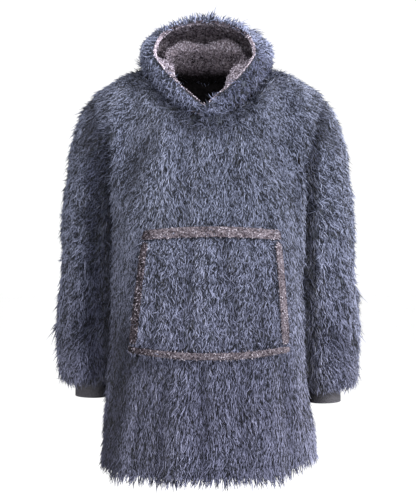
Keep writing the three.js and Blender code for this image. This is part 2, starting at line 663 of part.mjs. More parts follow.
// One column of the lining: up to its inner edge, back to the hood and along it to the rim
function liningColumn(points, signed) {
  const [side, share] = [Math.sign(signed), Math.abs(signed)];
  const row = rowAt(LINING_COLUMNS, "share", share);
  const place = ([x, y, z]) => vector(side * x + HOOD_LEAN, y, z);
  const [edge, valley] = [place(row.edge), place(row.valley)];
  for (const bump of ROLL_BUMPS)
    edge.z += bump.rise * Math.exp(-(((signed - bump.share) / bump.width) ** 2));
  const { from, to } = FACING_NARROWER;
  const narrower = side < 0 ? FACING_NARROWER.share * smooth(from, to, share) : 0;
  edge.lerp(points[points.length - 1], narrower);
  valley.lerp(points[points.length - 1], narrower);
  const radius = row.radius * (1 - narrower);
  const start = points[0];
  const middle = vector(HOOD_LEAN, start.y * EDGE_START.level, 0);
  const inward = middle.sub(edge).setZ(0).normalize();
  const round = (degrees) => {
    const turn = THREE.MathUtils.degToRad(degrees);
    const point = edge.clone().addScaledVector(inward, radius * (Math.cos(turn) - 1));
    return point.add(vector(0, 0, radius * Math.sin(turn)));
  };
  const rise = start.clone().lerp(round(EDGE_TURNS[0]), EDGE_START.share);
  rise.addScaledVector(inward, radius * EDGE_START.out);
  const route = [start, rise, ...EDGE_TURNS.map(round), valley, alongColumn(points, row.keep)];
  const over = new THREE.CatmullRomCurve3(route, false, "centripetal");
  const column = [];
  for (let i = 0; i < EDGE_ROWS; i++) column.push(over.getPoint(i / EDGE_ROWS));
  for (const t of steps(row.keep, 1, UPPER_ROWS)) column.push(alongColumn(points, t));
  const flat = smooth(FACING_END.from, FACING_END.to, share);
  column.forEach((point, i) => point.lerp(alongColumn(points, i / LINING_ROWS), flat));
  return column;
}

// The point at a share of the way along a column of evenly spaced points
function alongColumn(points, share) {
  const place = share * (points.length - 1);
  const low = Math.min(Math.floor(place), points.length - 2);
  return points[low].clone().lerp(points[low + 1], place - low);
}

// The lining's two halves, one seam's gap inside the hood
function liningSheets(hoodInside) {
  const away = hoodInward(hoodInside);
  const against = moved(hoodInside, away, LINING_GAP + LINING_WALL);
  for (const point of against[0]) point.z += LINING_GAP;
  const face = liningRows(against);
  const outward = normals(face, false);
  const turn = outward[LINING_ROWS - 1][HOOD_COLUMN_COUNT].z < 0 ? -1 : 1;
  outward.forEach((row, i) => row.forEach((way, j) => {
    way.multiplyScalar(turn);
    if (i === 0) way.copy(away[0][j]).negate();
    if (j % HOOD_COLUMN_COUNT === 0) way.setX(0).normalize();
  }));
  return { face, back: moved(face, outward, LINING_WALL) };
}

// The plush bead round the face: a ring at each column, over the ends of hood and lining
function edgeGeometry(hood, liningFace) {
  const rings = hood[HOOD_ROWS].map((outer, j) => {
    const inner = liningFace[LINING_ROWS][j];
    const across = outer.clone().sub(inner);
    const half = across.length() / 2;
    across.normalize();
    const forward = outer.clone().sub(hood[HOOD_ROWS - 1][j]);
    forward.addScaledVector(across, -forward.dot(across)).normalize();
    const ring = [];
    for (let s = 0; s < EDGE_BEAD.sides; s++) {
      const angle = ((s + 0.5) / EDGE_BEAD.sides) * 2 * Math.PI;
      const proud = EDGE_BEAD.gap + EDGE_BEAD.proud * Math.max(0, Math.sin(angle));
      const point = outer.clone().lerp(inner, 0.5).addScaledVector(across, half * Math.cos(angle));
      ring.push(point.addScaledVector(forward, proud));
    }
    return ring;
  });
  const end = rings.length - 1;
  rings[0].forEach((point, s) => point.lerp(rings[1][s], EDGE_BEAD.trim));
  rings[end].forEach((point, s) => point.lerp(rings[end - 1][s], EDGE_BEAD.trim));
  return capped(rings);
}

// A closed solid through rings, with a flat fan at each end
function capped(rings) {
  const count = rings[0].length;
  const positions = [];
  for (const ring of rings) for (const point of ring) positions.push(point.x, point.y, point.z);
  const faces = [];
  for (let i = 0; i < rings.length - 1; i++)
    for (let j = 0; j < count; j++) {
      const [a, b] = [i * count + j, i * count + ((j + 1) % count)];
      faces.push(a, b, b + count, a, b + count, a + count);
    }
  const last = (rings.length - 1) * count;
  for (let j = 1; j < count - 1; j++) faces.push(0, j + 1, j, last, last + j, last + j + 1);
  if (signedVolume(positions, faces) < 0)
    for (let f = 0; f < faces.length; f += 3)
      [faces[f + 1], faces[f + 2]] = [faces[f + 2], faces[f + 1]];
  const geometry = new THREE.BufferGeometry();
  geometry.setAttribute("position", new THREE.Float32BufferAttribute(positions, 3));
  geometry.setIndex(faces);
  geometry.computeVertexNormals();
  return geometry;
}

// A point in front of the body's face, by shares across and up the pocket
function pocketPoint(across, up, standOff) {
  const middle = 1 - (2 * across - 1) ** 2;
  const half = lerp(POCKET.halfBottom, POCKET.halfTop, up);
  const x = lerp(POCKET.xBottom, POCKET.xTop, up) + half * (2 * across - 1);
  const low = POCKET.bottom - POCKET.sag * middle;
  const z = lerp(low, POCKET.top + POCKET.crown * middle, up);
  return vector(x, SEAM_Y - panelReach(x, z, true) - standOff, z);
}

// How far the pocket's back stands off the body: sewn down at the top and bottom
function pocketRoom(across, up) {
  const room = POCKET.handRoom + POCKET.gape * (2 * across - 1) ** 2;
  return POCKET.standOff + room * Math.sin(Math.PI * up) ** POCKET.billow;
}

// A patch of the pocket as a wall that starts at a depth in front of the pocket's back
function pocketPatch(across, up, start, thick) {
  const sheet = (depth) =>
    up.map((high) => across.map((wide) => pocketPoint(wide, high, pocketRoom(wide, high) + depth)));
  return wall(sheet(start + thick), sheet(start));
}

// Even steps from one share to another
function steps(from, to, count) {
  return Array.from({ length: count + 1 }, (_, k) => lerp(from, to, k / count));
}

const COLOURS = { fur: 0x5b6274, plush: 0x8d828c, knit: 0x3f4048 };
const finish = (colour) =>
  new THREE.MeshStandardMaterial({ color: colour, roughness: 0.95, metalness: 0 });

const hoodie = new THREE.Group();
function add(name, geometry, colour) {
  const mesh = new THREE.Mesh(geometry, finish(colour));
  mesh.name = name;
  hoodie.add(mesh);
}

add("front", bodyMesh(true), COLOURS.fur);
add("back", bodyMesh(false), COLOURS.fur);
const SIDES = [
  { name: "left", side: 1 },
  { name: "right", side: -1 },
];
const hoodFace = hoodRows();
const hoodWays = hoodInward(hoodFace);
const hoodInside = moved(hoodFace, hoodWays, HOOD_WALL);
const lining = liningSheets(hoodInside);
for (const { name, side } of SIDES) {
  add(`sleeve_${name}`, sleeveMesh(side), COLOURS.fur);
  add(`cuff_${name}`, cuffMesh(side), COLOURS.knit);
  add(`hood_${name}`, wall(halfOf(hoodFace, side), halfOf(hoodInside, side)), COLOURS.fur);
  const plush = wall(halfOf(lining.back, side), halfOf(lining.face, side));
  add(`hood_lining_${name}`, plush, COLOURS.plush);
}
add("hood_edge", edgeGeometry(hoodFace, lining.face), COLOURS.plush);

const height = POCKET.top - POCKET.bottom;
const sideShare = BAND_WIDTH.side / (POCKET.halfTop + POCKET.halfBottom);
const topShare = BAND_WIDTH.top / height;
const bottomShare = BAND_WIDTH.bottom / height;
const rightEdge = steps(0, sideShare, 1);
const leftEdge = steps(1 - sideShare, 1, 1);
const middle = steps(sideShare, 1 - sideShare, POCKET_COLUMNS);
const wide = [...rightEdge, ...middle.slice(1, -1), ...leftEdge];
const lowEdge = steps(0, bottomShare, BAND_ROWS);
const highEdge = steps(1 - topShare, 1, BAND_ROWS);
const between = steps(bottomShare, 1 - topShare, POCKET_ROWS);
const tall = [...lowEdge, ...between.slice(1, -1), ...highEdge];
between[0] += SEAM_GAP / height;
between[between.length - 1] -= SEAM_GAP / height;
add("pocket", pocketPatch(wide, tall, 0, POCKET_WALL), COLOURS.fur);
const bands = [
  { name: "pocket_band_top", across: wide, up: highEdge },
  { name: "pocket_band_bottom", across: wide, up: lowEdge },
  { name: "pocket_band_right", across: rightEdge, up: between },
  { name: "pocket_band_left", across: leftEdge, up: between },
];
for (const { name, across, up } of bands)
  add(name, pocketPatch(across, up, POCKET_WALL + SEAM_GAP, BAND_WALL), COLOURS.plush);

export default hoodie;
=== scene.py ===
# A wearable blanket hoodie in long shaggy plush, hollow and filled out as it is when worn.
# Metres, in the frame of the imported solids: +Z up, -Y the front, +X the wearer's left.
import math

import bmesh
import bpy
import numpy as np
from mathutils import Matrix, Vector


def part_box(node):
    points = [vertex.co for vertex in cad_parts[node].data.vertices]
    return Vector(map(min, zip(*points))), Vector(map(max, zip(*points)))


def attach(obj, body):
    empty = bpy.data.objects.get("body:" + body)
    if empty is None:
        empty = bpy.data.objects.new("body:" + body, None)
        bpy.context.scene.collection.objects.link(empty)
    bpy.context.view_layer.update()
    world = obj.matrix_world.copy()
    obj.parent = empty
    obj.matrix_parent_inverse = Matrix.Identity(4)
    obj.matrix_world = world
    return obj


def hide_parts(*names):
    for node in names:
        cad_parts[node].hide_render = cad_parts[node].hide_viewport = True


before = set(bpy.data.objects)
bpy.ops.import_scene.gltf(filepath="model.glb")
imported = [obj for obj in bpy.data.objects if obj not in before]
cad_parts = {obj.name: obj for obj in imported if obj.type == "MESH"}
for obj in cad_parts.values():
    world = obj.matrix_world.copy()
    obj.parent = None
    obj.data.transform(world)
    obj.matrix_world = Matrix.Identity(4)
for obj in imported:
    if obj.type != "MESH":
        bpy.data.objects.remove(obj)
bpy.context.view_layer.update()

# Camera and studio
# Seen from straight in front at the height of the chest, three metres away, in an upright
# picture. A white room and three soft lights give the even light of a catalogue picture.
CAMERA_PLACE = (0.0, -3.0, -0.378)
PICTURE_HEIGHT = 1.068  # what the picture takes in from top to bottom at the garment
SENSOR = 36.0
lens = bpy.data.cameras.new("camera")
lens.sensor_width = SENSOR
lens.lens = SENSOR * -CAMERA_PLACE[1] / PICTURE_HEIGHT
camera = bpy.data.objects.new("camera", lens)
camera.location = CAMERA_PLACE
camera.rotation_euler = (math.pi / 2, 0, 0)
bpy.context.scene.collection.objects.link(camera)
bpy.context.scene.camera = camera
bpy.context.scene.view_settings.view_transform = "Standard"


class Wire:
    """An output socket that can stand in a formula, which adds its Math nodes."""

    def __init__(self, socket):
        self.socket = socket
        self.tree = socket.id_data

    def math(self, operation, *values):
        return add(self.tree, "ShaderNodeMath", {"operation": operation}, values)

    def __add__(self, other):
        return self.math("ADD", self, other)

    def __sub__(self, other):
        return self.math("SUBTRACT", self, other)

    def __mul__(self, other):
        return self.math("MULTIPLY", self, other)

    def __truediv__(self, other):
        return self.math("DIVIDE", self, other)

    def __pow__(self, other):
        return self.math("POWER", self, other)

    def __rsub__(self, other):
        return self.math("SUBTRACT", other, self)

    def __rtruediv__(self, other):
        return self.math("DIVIDE", other, self)

    __radd__, __rmul__ = __add__, __mul__


def add(tree, kind, settings=None, values=(), out=0):
    """A new node with its settings, its sockets set or linked, and one output as a Wire."""
    node = tree.nodes.new(kind)
    for name, value in (settings or {}).items():
        if name == "stops":
            ramp = node.color_ramp
            while len(ramp.elements) < len(value):
                ramp.elements.new(0.5)
            for element, (place, colour) in zip(ramp.elements, value):
                element.position, element.color = place, (*colour, 1)
        else:
            setattr(node, name, value)
    pairs = values.items() if isinstance(values, dict) else enumerate(values)
    for name, value in pairs:
        socket = node.inputs[name]
        if isinstance(value, Wire):
            tree.links.new(value.socket, socket)
        elif value is not None:
            socket.default_value = value
    return Wire(node.outputs[out]) if node.outputs else node


def new_material(name):
    """An empty material, and its node tree."""
    made = bpy.data.materials.new(name)
    made.use_nodes = True
    made.node_tree.nodes.clear()
    return made, made.node_tree


def finish_material(tree, values):
    """Ends a material in one Principled shader with these values and links."""
    shader = add(tree, "ShaderNodeBsdfPrincipled", {}, values)
    add(tree, "ShaderNodeOutputMaterial", {}, {"Surface": shader})


def noise(tree, scale, detail, place=None):
    return add(tree, "ShaderNodeTexNoise", {}, {0: place, "Scale": scale, "Detail": detail})


def ramp(tree, level, stops, brightness=1.0):
    """A colour that changes with a level, every stop of it made as much brighter."""
    stops = [(place, tuple(c * brightness for c in colour)) for place, colour in stops]
    return add(tree, "ShaderNodeValToRGB", {"stops": stops}, [level])


def new_piece(name, mesh):
    """A piece of the scene, at the origin, with its place in its mesh."""
    piece = bpy.data.objects.new(name, mesh)
    bpy.context.scene.collection.objects.link(piece)
    return piece


FLOOR_Z = -1.4  # what a wearer of this garment stands on
FLOOR_REACH = 30.0
FLOOR_STOPS = [(0.3, (0.95, 0.95, 0.95)), (0.7, (0.98, 0.98, 0.98))]
floor_paint, tree = new_material("floor_paint")
pale = ramp(tree, noise(tree, 40.0, 3.0), FLOOR_STOPS)
finish_material(tree, {"Base Color": pale, "Roughness": 0.9})
floor_mesh = bpy.data.meshes.new("floor")
corners = [(-1, -1), (1, -1), (1, 1), (-1, 1)]
floor_mesh.from_pydata(
    [(x * FLOOR_REACH, y * FLOOR_REACH, FLOOR_Z) for x, y in corners], [], [(0, 1, 2, 3)]
)
floor_mesh.materials.append(floor_paint)
new_piece("floor", floor_mesh)

ROOM_LIGHT = 1.04
room = bpy.data.worlds.new("white_room")
room.use_nodes = True
background = room.node_tree.nodes["Background"]
background.inputs["Color"].default_value = (1, 1, 1, 1)
background.inputs["Strength"].default_value = ROOM_LIGHT
bpy.context.scene.world = room
SOFT_LIGHTS = [  # place, what it points at, size and power in watts
    ("key_light", (2.6, -1.7, 1.0), (0.0, 0.0, -0.35), 1.2, 260.0),
    ("fill_light", (0.4, -3.2, 0.6), (0.0, 0.0, -0.35), 1.6, 45.0),
    ("top_light", (0.1, -1.2, 2.0), (0.0, 0.0, -0.2), 1.4, 30.0),
]
for name, place, target, size, power in SOFT_LIGHTS:
    light = bpy.data.lights.new(name, "AREA")
    light.size, light.energy = size, power
    lamp = new_piece(name, light)
    lamp.location = place
    aim = Vector(target) - Vector(place)
    lamp.rotation_euler = aim.to_track_quat("-Z", "Y").to_euler()


# Cloth of the body
# The front and the back are one panel each in a knitted backing, cut with half of the shoulders
# and sewn at the sides. Here each is a shell of that backing, with its pile grown on it.
BACKING = 0.003
PILE_OVER_CLOTH = 0.0045  # how deep in the solid the cloth lies that carries the pile
SLEEVE_OVERLAP = 0.007
HEM_BAND = (-0.795, -0.845)  # where the hem starts to rise, and its edge
HEM_RAISED = 0.006  # the pile hangs this much below the cloth's hem
HEM_RISES = [(0.145, 0.225, 0.030), (-0.195, -0.226, 0.016)]  # x from, x to, and how far up
SAME_FACE = math.radians(52)  # a larger bend than this is the edge of the wall
BACKWARD = -0.45  # and a face that looks back at its heart more than this is its other side
SMALL_HOLE = 12  # a steep fold that the search left out has no more edges than this
SAME_POINT = 2e-5
PAIR_BEND = math.radians(60)  # two triangles that bend by less make one four-sided face
CREASES_FRONT = [  # x and z of both ends, half its width, depth (a ridge is negative)
    (-0.195, -0.33, -0.198, -0.58, 0.030, 0.004),
    (-0.150, -0.56, -0.195, -0.84, 0.055, 0.005),
    (-0.170, -0.60, -0.212, -0.80, 0.014, 0.006),
    (-0.150, -0.66, -0.168, -0.83, 0.014, -0.004),
    (-0.085, -0.64, -0.100, -0.84, 0.016, 0.004),
    (-0.010, -0.63, -0.004, -0.84, 0.014, 0.004),
    (0.075, -0.64, 0.086, -0.84, 0.018, 0.005),
    (0.150, -0.60, 0.172, -0.82, 0.015, 0.006),
    (0.198, -0.45, 0.207, -0.70, 0.016, 0.007),
    (0.214, -0.26, 0.216, -0.62, 0.007, 0.006),
    (0.178, -0.20, 0.190, -0.42, 0.014, 0.005),
    (-0.206, -0.14, -0.214, -0.36, 0.008, 0.005),
    (-0.110, -0.13, -0.160, -0.24, 0.018, 0.004),
    (0.105, -0.12, 0.150, -0.22, 0.018, 0.004),
    (-0.035, -0.14, -0.050, -0.30, 0.022, 0.003),
    (0.050, -0.15, 0.064, -0.31, 0.020, 0.003),
]
CREASES_BACK = [
    (-0.190, -0.58, -0.205, -0.82, 0.016, 0.006),
    (-0.105, -0.55, -0.118, -0.84, 0.016, 0.005),
    (-0.040, -0.34, -0.046, -0.84, 0.016, -0.004),
    (0.036, -0.50, 0.044, -0.84, 0.015, 0.005),
    (0.120, -0.30, 0.132, -0.60, 0.016, -0.004),
    (0.176, -0.20, 0.196, -0.44, 0.016, 0.006),
    (-0.170, -0.16, -0.192, -0.40, 0.016, 0.006),
    (-0.060, -0.08, -0.110, -0.24, 0.018, 0.004),
    (0.060, -0.09, 0.112, -0.22, 0.018, 0.004),
]


def crease_depth(points, creases, across, end=0.04):
    """How deep soft creases are at points, each a line across one axis and down the height."""
    depth = np.zeros(len(points))
    for a0, z0, a1, z1, half, deep in creases:
        along = np.clip((points[:, 2] - z0) / (z1 - z0), 0, 1)
        beside = (points[:, across] - (a0 + (a1 - a0) * along)) / half
        over = np.maximum(0, np.maximum(points[:, 2] - z0, z1 - points[:, 2])) / end
        depth += deep * np.exp(-(beside**2) - over**2)
    return depth


def creased(points, normals, creases, across):
    """Points moved in by soft creases."""
    return points - normals * crease_depth(points, creases, across)[:, None]


def merged(node):
    """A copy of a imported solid's mesh with its loose triangles joined up."""
    bm = bmesh.new()
    bm.from_mesh(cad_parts[node].data)
    bmesh.ops.remove_doubles(bm, verts=bm.verts, dist=SAME_POINT)
    return bm


def in_quads(bm, name):
    """The same surface as a new mesh of four-sided faces."""
    bends = {"angle_face_threshold": PAIR_BEND, "angle_shape_threshold": PAIR_BEND}
    bmesh.ops.join_triangles(bm, faces=bm.faces, **bends)
    made = bpy.data.meshes.new(name)
    bm.to_mesh(made)
    bm.free()
    return made


def one_face(node, seen_from, heart=None, limit=SAME_FACE):
    """The face of a packed wall that lies nearest to a point, as a mesh of four-sided faces.

    It ends where the wall bends by more than limit, or looks back at its heart.
    """
    bm = merged(node)
    bm.normal_update()
    eye = Vector(seen_from)

    def belongs(face):
        if heart is None:
            return True
        place = face.calc_center_median()
        return face.normal.dot((place - heart(place)).normalized()) > BACKWARD

    found = {min(bm.faces, key=lambda face: (face.calc_center_median() - eye).length)}
    waiting = list(found)
    while waiting:
        for edge in waiting.pop().edges:
            if len(edge.link_faces) == 2 and edge.calc_face_angle() < limit:
                fresh = [f for f in edge.link_faces if f not in found and belongs(f)]
                found.update(fresh)
                waiting.extend(fresh)
    rest = [f for f in bm.faces if f not in found]
    bmesh.ops.delete(bm, geom=rest, context="FACES")
    border = [edge for edge in bm.edges if edge.is_boundary]
    bmesh.ops.holes_fill(bm, edges=border, sides=SMALL_HOLE)
    return in_quads(bm, node + "_face")


def read_points(mesh):
    """The points and the normals of a mesh, as rows."""
    points, normals = np.zeros((2, len(mesh.vertices) * 3))
    mesh.vertices.foreach_get("co", points)
    mesh.vertices.foreach_get("normal", normals)
    return points.reshape(-1, 3), normals.reshape(-1, 3)


def write_points(mesh, points):
    mesh.vertices.foreach_set("co", np.ascontiguousarray(points).ravel())
    mesh.update()


def settled(piece):
    """The piece with its modifiers applied, and none left on it."""
    graph = bpy.context.evaluated_depsgraph_get()
    made = bpy.data.meshes.new_from_object(piece.evaluated_get(graph))
    piece.modifiers.clear()
    piece.data = made
    return piece


def cloth_sheet(name, mesh, inset, levels, shape, tuck=lambda points: points):
    """A smooth open sheet: a face of a solid moved in, tucked, rounded and then creased."""
    points, normals = read_points(mesh)
    write_points(mesh, tuck(points - normals * inset))
    piece = new_piece(name, mesh)
    smooth = piece.modifiers.new("round", "SUBSURF")
    smooth.levels = smooth.render_levels = levels
    settled(piece)
    points, normals = read_points(piece.data)
    write_points(piece.data, shape(points, normals))
    piece.data.shade_smooth()
    return piece


def cover(piece, *materials):
    """Gives a piece these materials and no others."""
    piece.data.materials.clear()
    for material in materials:
        piece.data.materials.append(material)


def cloth_shell(name, sheet, thick, outside, inside):
    """The cloth itself: the sheet with its thickness behind it, and both of its sides."""
    piece = new_piece(name, sheet.data.copy())
    cover(piece, outside, inside)
    coarser = piece.modifiers.new("coarser", "DECIMATE")
    coarser.decimate_type, coarser.iterations = "UNSUBDIV", 2
    wall = piece.modifiers.new("wall", "SOLIDIFY")
    wall.thickness, wall.offset = thick, -1
    wall.material_offset = wall.material_offset_rim = 1
    wall.use_even_offset = False
    settled(piece)
    return piece


STRANDS = (430.0, 430.0, 140.0)  # strands of a lock in a metre, across and down
# The near-black root stop is the pile's darker base and also painted shade between the locks.
FUR_STOPS = [  # from the root of a lock to its tip
    (0.19, (0.004, 0.005, 0.009)),
    (0.50, (0.076, 0.085, 0.130)),
    (0.84, (0.162, 0.178, 0.254)),
]
# Painted shade: the tint that a lock's colour is multiplied by, as far as its pile carries painted
# shade.
PAINTED_SHADE_TINT = (0.27, 0.27, 0.31, 1.0)
LOW_TINT = (1.0, 0.94, 0.98, 1.0)  # the lower half is a little more purple
LOW_HALF = (-0.30, -0.70)  # the heights between which it turns to that


def object_place(tree):
    return add(tree, "ShaderNodeTexCoord", out="Object")


def attribute(tree, name):
    """A number that the pile or its cloth carries with it."""
    return add(tree, "ShaderNodeAttribute", {"attribute_name": name}, out="Fac")


def from_to(tree, value, low, high, settings=None):
    """0 at low, 1 at high, and what lies between them."""
    values = {"Value": value, 1: low, 2: high, 3: 0.0, 4: 1.0}
    return add(tree, "ShaderNodeMapRange", settings, values)


def tinted(tree, colour, share, tint):
    """The colour, multiplied by a tint where the share is 1."""
    values = {0: share, 6: colour, 7: tint}
    return add(tree, "ShaderNodeMix", {"data_type": "RGBA", "blend_type": "MULTIPLY"}, values, 2)


def fur_material(name, brightness=1.0):
    """Locks of long pile: near black at the root, as the pile's darker base and as painted shade
    between locks, paler towards the tip, and finely streaked.
    """
    made, tree = new_material(name)
    along, shade, fold = [attribute(tree, fact) for fact in ("along", "shade", "fold")]
    place = object_place(tree)
    patches = noise(tree, 9.0, 2.0, place)
    strands = noise(tree, 1.0, 1.0, add(tree, "ShaderNodeMapping", {}, {0: place, 3: STRANDS}))
    level = along * 0.34 + shade * 0.72 + (patches - 0.5) * 0.40 + (strands - 0.5) * 2.0 - 0.07
    colour = tinted(tree, ramp(tree, level, FUR_STOPS, brightness), fold, PAINTED_SHADE_TINT)
    height = add(tree, "ShaderNodeSeparateXYZ", {}, [place], 2)
    colour = tinted(tree, colour, from_to(tree, height, *LOW_HALF), LOW_TINT)
    dull = 0.62 - shade * 0.14
    values = {"Base Color": colour, "Roughness": dull, "Specular IOR Level": 0.25}
    finish_material(tree, values)
    return made


fur_locks = fur_material("fur_locks")

BACKING_STOPS = [(0.35, (0.008, 0.009, 0.014)), (0.75, (0.05, 0.06, 0.09))]
BACKING_GRAIN = (420.0, 420.0, 70.0)  # drawn out down the cloth
backing_cloth, tree = new_material("backing_cloth")
down = add(tree, "ShaderNodeMapping", {}, {0: object_place(tree), 3: BACKING_GRAIN})
grain = noise(tree, 1.0, 3.0, down)
colour = ramp(tree, grain, BACKING_STOPS)
bump = add(tree, "ShaderNodeBump", {}, {"Height": grain, "Distance": 0.004})
finish_material(tree, {"Base Color": colour, "Roughness": 0.9, "Normal": bump})

# Painted shadow: the inner side of every cloth is near black, for the shade inside the garment.
INNER_STOPS = [(0.3, (0.003, 0.003, 0.003)), (0.7, (0.009, 0.008, 0.009))]
painted_shadow_inner_cloth, tree = new_material("painted_shadow_inner_cloth")
curls = noise(tree, 160.0, 3.0, object_place(tree))
colour = ramp(tree, curls, INNER_STOPS)
bump = add(tree, "ShaderNodeBump", {}, {"Height": curls, "Distance": 0.003})
values = {"Base Color": colour, "Roughness": 0.95, "Specular IOR Level": 0.0, "Normal": bump}
finish_material(tree, values)


def vector_math(tree, operation, *values):
    out = "Value" if operation == "DOT_PRODUCT" else 0
    return add(tree, "ShaderNodeVectorMath", {"operation": operation}, values, out)


def scaled(tree, vector, size):
    values = {0: vector, "Scale": size}
    return add(tree, "ShaderNodeVectorMath", {"operation": "SCALE"}, values)


LOCK_FORMS = [  # how far the tip hangs back, in lock lengths, and the middle aside, in widths
    (0.05, 0.6),
    (-0.12, -0.7),
    (0.14, 0.8),
    (0.20, -0.5),
]
AXES = {"primary_axis": "Z", "secondary_axis": "X"}
LOCK = {"Vertices": 3, "Side Segments": 2, "Radius Top": 0.0, "Radius Bottom": 0.42, "Depth": 1.0}
PILE_INPUTS = {  # what the growing tree takes, and what each input starts as
    "Geometry": None,
    "Spacing": 0.0045,
    "Locks per area": 40000.0,
    "Length": 0.03,
    "Width": 0.005,
    "Lift": 0.3,
    "Mess": 0.25,
    "Wave": 0.5,
    "Waves per metre": 85.0,
    "Lowest": -9.0,
    "Highest": 9.0,
    "Seed": 1,
    "Material": fur_locks,
}
SOCKETS = {type(None): "Geometry", float: "Float", int: "Int", tuple: "Vector"}


def new_tree(name, inputs):
    """An empty Geometry Nodes tree with named inputs, and each input as a Wire."""
    tree = bpy.data.node_groups.new(name, "GeometryNodeTree")
    tree.is_modifier = True
    for label, value in inputs.items():
        kind = "NodeSocket" + SOCKETS.get(type(value), "Material")
        socket = tree.interface.new_socket(label, in_out="INPUT", socket_type=kind)
        if value is not None:
            socket.default_value = value
    tree.interface.new_socket("Geometry", in_out="OUTPUT", socket_type="NodeSocketGeometry")
    entry = tree.nodes.new("NodeGroupInput")
    return tree, {label: Wire(entry.outputs[label]) for label in inputs}


def end_tree(tree, instances, material):
    """Ends a tree in real meshes that have their material."""
    real = add(tree, "GeometryNodeRealizeInstances", {}, [instances])
    values = {"Geometry": real, "Material": material}
    painted = add(tree, "GeometryNodeSetMaterial", {}, values)
    tree.links.new(painted.socket, tree.nodes.new("NodeGroupOutput").inputs[0])
    return tree


def made_by(tree, name, mesh, sizes):
    """A piece of its own: the plain mesh that a tree makes of a mesh, at these sizes."""
    piece = new_piece(name, mesh)
    modifier = piece.modifiers.new(name, "NODES")
    modifier.node_group = tree
    for item in tree.interface.items_tree:
        if item.in_out == "INPUT" and item.name in sizes:
            modifier[item.identifier] = sizes[item.name]
    settled(piece)
    piece.data.name = name
    return piece


def pile_tree():
    """Grows locks on a sheet: along its comb, lifted from it, with random length and turn."""
    tree, given = new_tree("pile", PILE_INPUTS)

    def read(name, kind="FLOAT"):
        return add(tree, "GeometryNodeInputNamedAttribute", {"data_type": kind}, {"Name": name})

    def random(low, high, offset, kind="FLOAT"):
        """A random value per lock. The seed is moved so that no two draws are alike."""
        settings, values = {"data_type": kind}, {"Seed": given["Seed"] + offset}
        node = add(tree, "FunctionNodeRandomValue", settings, values).socket.node
        sockets = [s for s in node.inputs if s.enabled]
        sockets[0].default_value, sockets[1].default_value = low, high
        return Wire(next(s for s in node.outputs if s.enabled))

    height = add(tree, "ShaderNodeSeparateXYZ", {}, [add(tree, "GeometryNodeInputPosition")], 2)
    bounds = {"GREATER_EQUAL": given["Lowest"], "LESS_THAN": given["Highest"]}
    within = [
        add(tree, "FunctionNodeCompare", {"operation": operation}, [height, bound])
        for operation, bound in bounds.items()
    ]
    both = add(tree, "FunctionNodeBooleanMath", {"operation": "AND"}, within)
    scatter = add(
        tree,
        "GeometryNodeDistributePointsOnFaces",
        {"distribute_method": "POISSON"},
        {
            "Mesh": given["Geometry"],
            "Selection": both,
            "Distance Min": given["Spacing"],
            "Density Max": given["Locks per area"],
            "Density Factor": read("growth"),
            "Seed": given["Seed"],
        },
    )
    upright = Wire(scatter.socket.node.outputs["Normal"])

    comb = read("comb", "FLOAT_VECTOR")
    stray = random((-1, -1, -1), (1, 1, 1), 11, "FLOAT_VECTOR")
    stray = scaled(tree, stray, given["Mess"] * read("mess"))
    spot = add(tree, "GeometryNodeInputPosition")
    values = {"Vector": spot, "Scale": given["Waves per metre"], "Detail": 1.0}
    swirl = add(tree, "ShaderNodeTexNoise", {}, values, 1)
    swirl = vector_math(tree, "SUBTRACT", swirl, (0.5, 0.5, 0.5))
    swirl = scaled(tree, swirl, given["Wave"] * read("mess") * 4.0)
    wanted = vector_math(tree, "ADD", vector_math(tree, "ADD", comb, stray), swirl)
    off = scaled(tree, upright, vector_math(tree, "DOT_PRODUCT", wanted, upright))
    lying = vector_math(tree, "NORMALIZE", vector_math(tree, "SUBTRACT", wanted, off))
    lift = given["Lift"] * read("lift") * random(0.55, 1.35, 12)
    rising = scaled(tree, upright, lift.math("SINE", lift))
    flat = scaled(tree, lying, lift.math("COSINE", lift))
    way = vector_math(tree, "ADD", flat, rising)
    turn = add(tree, "FunctionNodeAxesToRotation", AXES, [way, upright])

    variants = tree.nodes.new("GeometryNodeJoinGeometry")
    for bend, aside in LOCK_FORMS:
        spike = add(tree, "GeometryNodeMeshCone", {"fill_type": "NGON"}, LOCK)
        spot = add(tree, "GeometryNodeInputPosition")
        x, y, z = [add(tree, "ShaderNodeSeparateXYZ", {}, [spot], k) for k in range(3)]
        named = add(
            tree,
            "GeometryNodeStoreNamedAttribute",
            {"data_type": "FLOAT", "domain": "POINT"},
            {"Geometry": spike, "Name": "along", "Value": z},
        )
        belly = 1 + z.math("SINE", z * math.pi) * 0.9
        back = x * belly * 0.6 - z * z * bend * given["Length"] / given["Width"]
        beside = y * belly + z * (1 - z) * aside * 4.0
        bent = add(tree, "ShaderNodeCombineXYZ", {}, [back, beside, z])
        shaped = add(tree, "GeometryNodeSetPosition", {}, {"Geometry": named, "Position": bent})
        single = add(tree, "GeometryNodeGeometryToInstance", {}, [shaped])
        tree.links.new(single.socket, variants.inputs[0])

    wide = given["Width"] * random(0.7, 1.35, 13)
    long = given["Length"] * read("length") * random(0.65, 1.25, 14)
    scale = add(tree, "ShaderNodeCombineXYZ", {}, [wide, wide, long])
    choice = random(0, len(LOCK_FORMS) - 1, 15, "INT")
    placed = add(
        tree,
        "GeometryNodeInstanceOnPoints",
        {},
        {
            "Points": scatter,
            "Instance": Wire(variants.outputs[0]),
            "Pick Instance": True,
            "Instance Index": choice,
            "Rotation": turn,
            "Scale": scale,
        },
    )
    shaded = add(
        tree,
        "GeometryNodeStoreNamedAttribute",
        {"data_type": "FLOAT", "domain": "INSTANCE"},
        {"Geometry": placed, "Name": "shade", "Value": random(0.0, 1.0, 16)},
    )
    return end_tree(tree, shaded, given["Material"])


PILE = pile_tree()


def unit(vectors):
    return vectors / np.maximum(np.linalg.norm(vectors, axis=1, keepdims=True), 1e-9)


